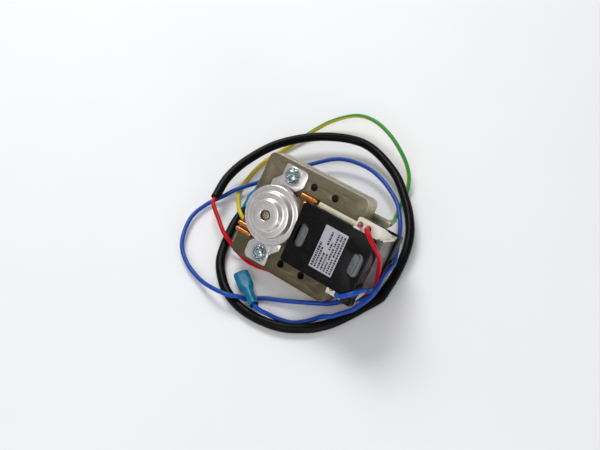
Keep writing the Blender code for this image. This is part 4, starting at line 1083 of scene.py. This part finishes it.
def tube(name, route, diameter, twist):
    """Round tube along a route in metres, with UV: U along it, V round it from the top.

    twist gives turns of the pattern about the tube at fractions of its length.
    """
    sides = 20
    path = smooth_path(route, diameter * 0.55)
    mesh = bmesh.new()
    rings = []
    for i, point in enumerate(path):
        along = (path[min(i + 1, len(path) - 1)] - path[max(i - 1, 0)]).normalized()
        up = Vector((0, 0, 1)) - along * along.z
        if up.length < 0.2 and rings:
            up = last_up - along * last_up.dot(along)
        up.normalize()
        if rings and up.dot(last_up) < 0.9:
            steady = (last_up - along * last_up.dot(along)).normalized()
            up = steady.lerp(up, 0.35).normalized()
        last_up = up
        side = along.cross(up)
        ring = []
        for k in range(sides):
            a = 2 * math.pi * k / sides
            out = up * math.cos(a) + side * math.sin(a)
            ring.append(mesh.verts.new(point + out * diameter / 2))
        rings.append(ring)
    layer = mesh.loops.layers.uv.new("along_and_round")
    last = len(rings) - 1

    def turn_at(t):
        for (t0, a0), (t1, a1) in zip(twist, twist[1:]):
            if t <= t1:
                return a0 + (a1 - a0) * (t - t0) / (t1 - t0)
        return twist[-1][1]

    for i in range(last):
        u = (i / last, (i + 1) / last)
        shift = [turn_at(value) for value in u]
        for k in range(sides):
            j = (k + 1) % sides
            face = mesh.faces.new((rings[i][k], rings[i][j], rings[i + 1][j], rings[i + 1][k]))
            v = (k / sides, (k + 1) / sides)
            places = (
                (u[0], v[0] + shift[0]), (u[0], v[1] + shift[0]),
                (u[1], v[1] + shift[1]), (u[1], v[0] + shift[1]),
            )
            base = math.floor(min(place[1] for place in places) + 0.5 / sides)
            for loop, place in zip(face.loops, places):
                loop[layer].uv = (place[0], place[1] - base)
    mesh.faces.new(reversed(rings[0]))
    mesh.faces.new(rings[-1])
    piece = mesh_piece(name, mesh)
    length = sum((b - a).length for a, b in zip(path, path[1:]))
    return piece, path, length


def motor_point(x, y, z):
    return tuple(MOTOR @ (Vector((x, y, z)) * MM))


def metres(points):
    return [tuple(Vector(p) * MM) for p in points]


def lay_cord(name, route, diameter, skin, node,
             twist=((0.0, 0.0), (1.0, 0.0))):
    piece, path, length = tube(name, route, diameter * MM, twist)
    piece.data.materials.append(skin)
    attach(piece, "stator")
    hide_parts(node)


def make_cords():
    lead_x, lead_y = CORE_X + 13.1, 18.6
    red = [motor_point(lead_x + x, lead_y + y, z) for x, y, z in (
        (0, 0, 2.3), (0, 0, 5.5), (0, 0, 8.5), (0.7, 0, 11.8), (2.7, 0, 15.4), (6.1, -2.0, 16.9),
        (10.0, -5.2, 15.9),
    )]
    red += metres([
        (42.7, -3.9, 44.8), (42.8, -2.2, 38.0), (42.7, -1.7, 32.0), (42.6, -2.6, 23.5),
        (42.5, -3.4, 18.0), (42.5, -4.2, 13.5), (42.4, -5.2, 10.2), (41.8, -6.3, 7.9),
        (40.2, -7.4, 6.9), (38.0, -8.4, 5.6), (35.5, -9.8, 3.6), (33.0, -11.2, 2.2),
        (28.0, -16.0, 1.6), (24.0, -19.8, 1.45), (21.0, -20.7, 1.4), (16.0, -20.85, 1.4),
        (-8.0, -20.8, 1.4), (-17.0, -21.4, 1.4), (-25.0, -23.2, 1.4), (-32.7, -23.3, 1.6),
        (-39.9, -22.4, 4.4), (-45.7, -21.2, 8.0), (-51.7, -18.7, 8.8), (-59.7, -13.2, 9.4),
        (-66.0, -9.0, 10.0), (-69.2, -6.2, 10.0), (-70.37, -3.12, 10.0),
    ])
    sleeve = metres([
        (-70.5, -2.7, 10.0), (-74.2, 13.8, 10.0), (-72.2, 31.8, 10.5), (-63.5, 52.7, 11.0),
        (-44.7, 71.8, 11.0), (-20.7, 81.5, 10.0), (5.2, 73.0, 9.2), (23.6, 57.6, 8.6),
        (34.0, 45.0, 7.9), (39.3, 34.6, 6.5), (42.4, 23.0, 4.9), (43.8, 12.5, 3.2),
        (44.3, 4.0, 2.8), (44.8, 0.3, 2.8), (44.6, -2.2, 2.8), (43.8, -5.0, 2.8),
        (42.4, -7.9, 2.8), (40.2, -12.9, 2.8), (37.8, -18.8, 2.8), (34.6, -25.5, 2.8),
        (31.2, -31.4, 2.8), (27.2, -36.4, 2.8), (22.6, -40.6, 2.8), (12.1, -47.2, 2.8),
        (0.0, -50.4, 2.8), (-12.2, -50.8, 2.8), (-22.8, -48.4, 2.8), (-32.4, -43.3, 2.8),
        (-43.2, -32.7, 2.9), (-50.2, -16.7, 2.9), (-53.7, -3.2, 2.9), (-53.2, 8.8, 2.9),
        (-48.7, 19.8, 2.9),
    ])
    tail = metres([
        (-48.55, 20.15, 2.9), (-45.9, 27.0, 3.2), (-46.5, 35.0, 5.3), (-50.5, 40.0, 7.2),
        (-55.6, 39.4, 8.0), (-57.9, 35.0, 8.0), (-57.1, 30.2, 7.95), (-55.8, 25.6, 8.1),
        (-54.6, 21.4, 8.25),
    ])
    blue = [motor_point(lead_x + x, y - lead_y, z) for x, y, z in (
        (0, 0, 2.3), (0, 0, 5.5), (0, 0, 8.5), (0.7, 0, 11.8), (2.6, 0.4, 15.1), (5.8, 2.4, 16.9),
        (10.0, 6.1, 16.2),
    )]
    blue += metres([
        (43.5, -19.4, 31.0), (43.6, -15.0, 25.8), (43.6, -10.9, 20.8), (43.7, -9.3, 17.4),
        (43.6, -8.7, 14.2), (42.9, -9.0, 11.7), (41.4, -10.4, 9.9), (39.0, -11.3, 8.2),
        (36.3, -11.7, 6.6), (32.7, -12.6, 5.2), (25.6, -21.0, 4.5), (17.7, -26.2, 4.5),
        (3.0, -33.4, 3.0), (-4.0, -36.2, 2.2), (-9.6, -38.8, 1.6), (-13.6, -42.4, 1.5),
        (-15.4, -44.5, 2.5), (-16.9, -46.0, 4.7), (-18.5, -47.6, 6.9), (-22.6, -50.1, 8.0),
        (-32.2, -51.2, 7.2), (-44.7, -49.2, 3.5), (-58.7, -44.2, 3.0), (-69.7, -35.2, 3.5),
        (-76.7, -19.2, 3.5), (-76.0, -5.2, 2.5), (-71.2, 4.8, 3.2), (-68.0, 10.5, 4.7),
        (-64.6, 16.0, 4.9), (-60.0, 25.2, 3.5), (-52.0, 39.5, 3.6), (-40.5, 53.0, 6.0),
        (-27.7, 64.3, 8.0), (-11.7, 67.9, 8.0), (3.3, 64.3, 8.2), (18.3, 55.0, 9.4),
        (24.3, 48.6, 9.4), (29.2, 42.1, 9.9), (32.6, 36.0, 11.0), (36.5, 28.0, 12.2),
        (40.4, 19.2, 12.5), (42.8, 13.6, 14.6), (43.7, 6.8, 18.0), (44.8, -0.6, 21.4),
        (45.9, -6.2, 23.4), (46.6, -10.4, 23.9), (46.4, -13.6, 21.8), (44.8, -15.7, 18.9),
        (42.6, -17.9, 15.4), (39.3, -21.6, 11.6), (37.2, -22.6, 9.4), (34.2, -24.8, 7.4),
        (30.6, -29.2, 6.9), (27.4, -30.9, 6.2), (25.0, -31.9, 4.7), (22.7, -33.6, 2.7),
        (18.9, -37.2, 1.5), (13.7, -41.5, 1.5), (8.3, -43.6, 1.8), (4.4, -45.0, 2.9),
        (1.0, -46.3, 5.0), (-1.4, -47.3, 6.5), (-4.6, -47.8, 7.7), (-8.4, -46.4, 7.83),
        (-12.1, -43.9, 6.95),
    ])
    tag_z = REAR - 0.3 - 0.8
    earth = [motor_point(CORE_X + 13.5, 21.4, tag_z - z) for z in (0.8, 3.5, 7.0)]
    earth += metres([
        (30.0, 33.5, 22.5), (25.6, 41.3, 11.6), (21.5, 52.5, 4.0), (18.8, 61.3, 2.0),
        (17.3, 69.8, 3.5), (12.5, 78.5, 7.0), (4.3, 84.8, 12.0), (-9.7, 92.3, 15.0),
        (-24.7, 97.8, 14.0), (-37.7, 97.3, 11.5), (-49.7, 89.3, 7.0), (-56.7, 77.8, 4.0),
        (-62.7, 59.8, 2.0), (-67.7, 43.8, 1.6), (-69.0, 33.4, 1.5), (-68.4, 24.0, 1.5),
        (-67.4, 15.4, 1.4), (-64.2, 10.2, 2.8), (-60.9, 6.2, 5.0), (-57.2, 2.3, 7.2),
        (-53.1, -1.7, 8.6), (-48.6, -4.4, 8.4), (-44.8, -4.6, 6.2), (-40.8, -1.8, 3.1),
        (-37.0, 2.0, 2.57), (-34.5, 4.5, 2.55), (-31.8, 7.2, 2.53),
    ])
    stripe = ((0.0, -0.16), (0.22, -0.16), (0.3, -0.08), (0.42, -0.04), (0.5, -0.12), (0.6, -0.22),
              (0.68, -0.33), (0.78, -0.42), (1.0, -0.45))
    lay_cord("red_wire", red, WIRE, RED_SKIN, "red_lead")
    lay_cord("black_tube", sleeve, SLEEVE, SLEEVE_SKIN, "black_sleeve")
    lay_cord("red_wire_end", tail, WIRE, RED_SKIN, "red_tail")
    lay_cord("blue_wire", blue, WIRE, BLUE_SKIN, "blue_lead")
    lay_cord("green_yellow_wire", earth, WIRE, EARTH_SKIN, "earth_wire",
             stripe)


# Camera, floor and light


def set_camera():
    data = bpy.data.cameras.new("camera")
    data.sensor_width = 36.0
    data.lens = 51.0
    data.clip_start = 0.01
    camera = new_object("camera", data)
    right = Vector((0.8081, 0.5875, -0.0433))
    up = Vector((-0.4492, 0.6621, 0.5999))
    back = Vector((0.3811, -0.4653, 0.7989))
    facing = Matrix((right, up, back)).transposed().to_4x4()
    camera.matrix_world = Matrix.Translation((0.16775, -0.21692, 0.3979)) @ facing
    bpy.context.scene.camera = camera


def make_floor():
    let_go()
    bpy.ops.mesh.primitive_plane_add(size=12.0, location=(0, 0, 0))
    floor = bpy.context.object
    floor.name = "floor"
    material, tree, shader = new_finish("white_paper", 0.7)
    space = object_space(tree)
    clouds = patches(tree, space, 3.0, (0.87, 0.87, 0.865), (0.855, 0.855, 0.855))
    feed(shader, "Base Color", clouds.outputs["Color"])
    shader.inputs["Specular IOR Level"].default_value = 0.1
    floor.data.materials.append(material)


def add_lamp(name, place, target, size, power):
    data = bpy.data.lights.new(name, "AREA")
    data.shape = "RECTANGLE"
    data.size, data.size_y = size
    data.energy = power
    lamp = new_object(name, data)
    lamp.location = place
    lamp.rotation_euler = (Vector(target) - Vector(place)).to_track_quat("-Z", "Y").to_euler()


def set_light():
    world = bpy.data.worlds.new("studio")
    world.use_nodes = True
    background = world.node_tree.nodes["Background"]
    background.inputs["Color"].default_value = (0.93, 0.95, 1.0, 1.0)
    background.inputs["Strength"].default_value = 0.37
    bpy.context.scene.world = world
    add_lamp("soft_key", (-0.55, 0.45, 0.85), (0, 0.02, 0.02), (0.5, 0.5), 7.4)
    add_lamp("soft_front", (0.2, -0.75, 0.8), (0, 0, 0.02), (0.7, 0.7), 3.8)
    add_lamp("right_card", (0.8, -0.55, 0.26), (0, 0, 0.03), (0.45, 0.3), 2.2)
    bpy.context.scene.view_settings.view_transform = "Standard"


set_camera()
set_light()
make_floor()

SPADE_1 = ((-7.2, -47.2, 8.1), (-27.7, -33.4, 3.4))
SPADE_2 = ((-55.8, 25.6, 8.1), (-48.8, 1.6, 9.0))
insulators = [make_insulator(1, *SPADE_1), make_insulator(2, *SPADE_2)]
make_cords()

make_stack()
for side, word in ((1, "upper"), (-1, "lower")):
    for size, (leg, y) in RING_LEGS.items():
        make_shading_ring(side, leg, y, f"{word}_{size}")
    make_screw(side, word)
    make_star_washer(side, word)
for end in ("front", "rear"):
    make_bracket(end)
make_front_cover()
make_bobbin_rim()
make_block_flap()
make_clip(-1, "left")
make_clip(1, "right")
make_label()

for name, material, radius in (
    ("coil_core_bar", STEEL, 0.2), ("bobbin", NYLON, 0.35), ("coil_cover_rear", BLACK, 0.4),
    ("nut_upper", ZINC, 0.2), ("nut_lower", ZINC, 0.2), ("earth_tag", TIN, 0.12),
    ("earth_rivet", TIN, 0.1), ("earth_ring_terminal", TIN, 0.1), ("winding", ENAMEL, 0),
    ("winding_tape", TAPE, 0), ("rotor_core", CORE, 0), ("rotor_cage", CAST, 0),
    ("shaft", SHAFT, 0), ("receptacle_contact_1", BRASS, 0), ("receptacle_contact_2", BRASS, 0),
    ("coil_lead_stub", PINK, 0),
):
    dress_node(name, material, radius)
for end in ("front", "rear"):
    dress_node(f"{end}_bearing", BRONZE, 0)
    dress_node(f"{end}_bearing_retainer", SPRING, 0)
    dress_node(f"{end}_oil_felt", FELT, 0)
    dress_node(f"{end}_thrust_washer", WASHER, 0)

let_go()
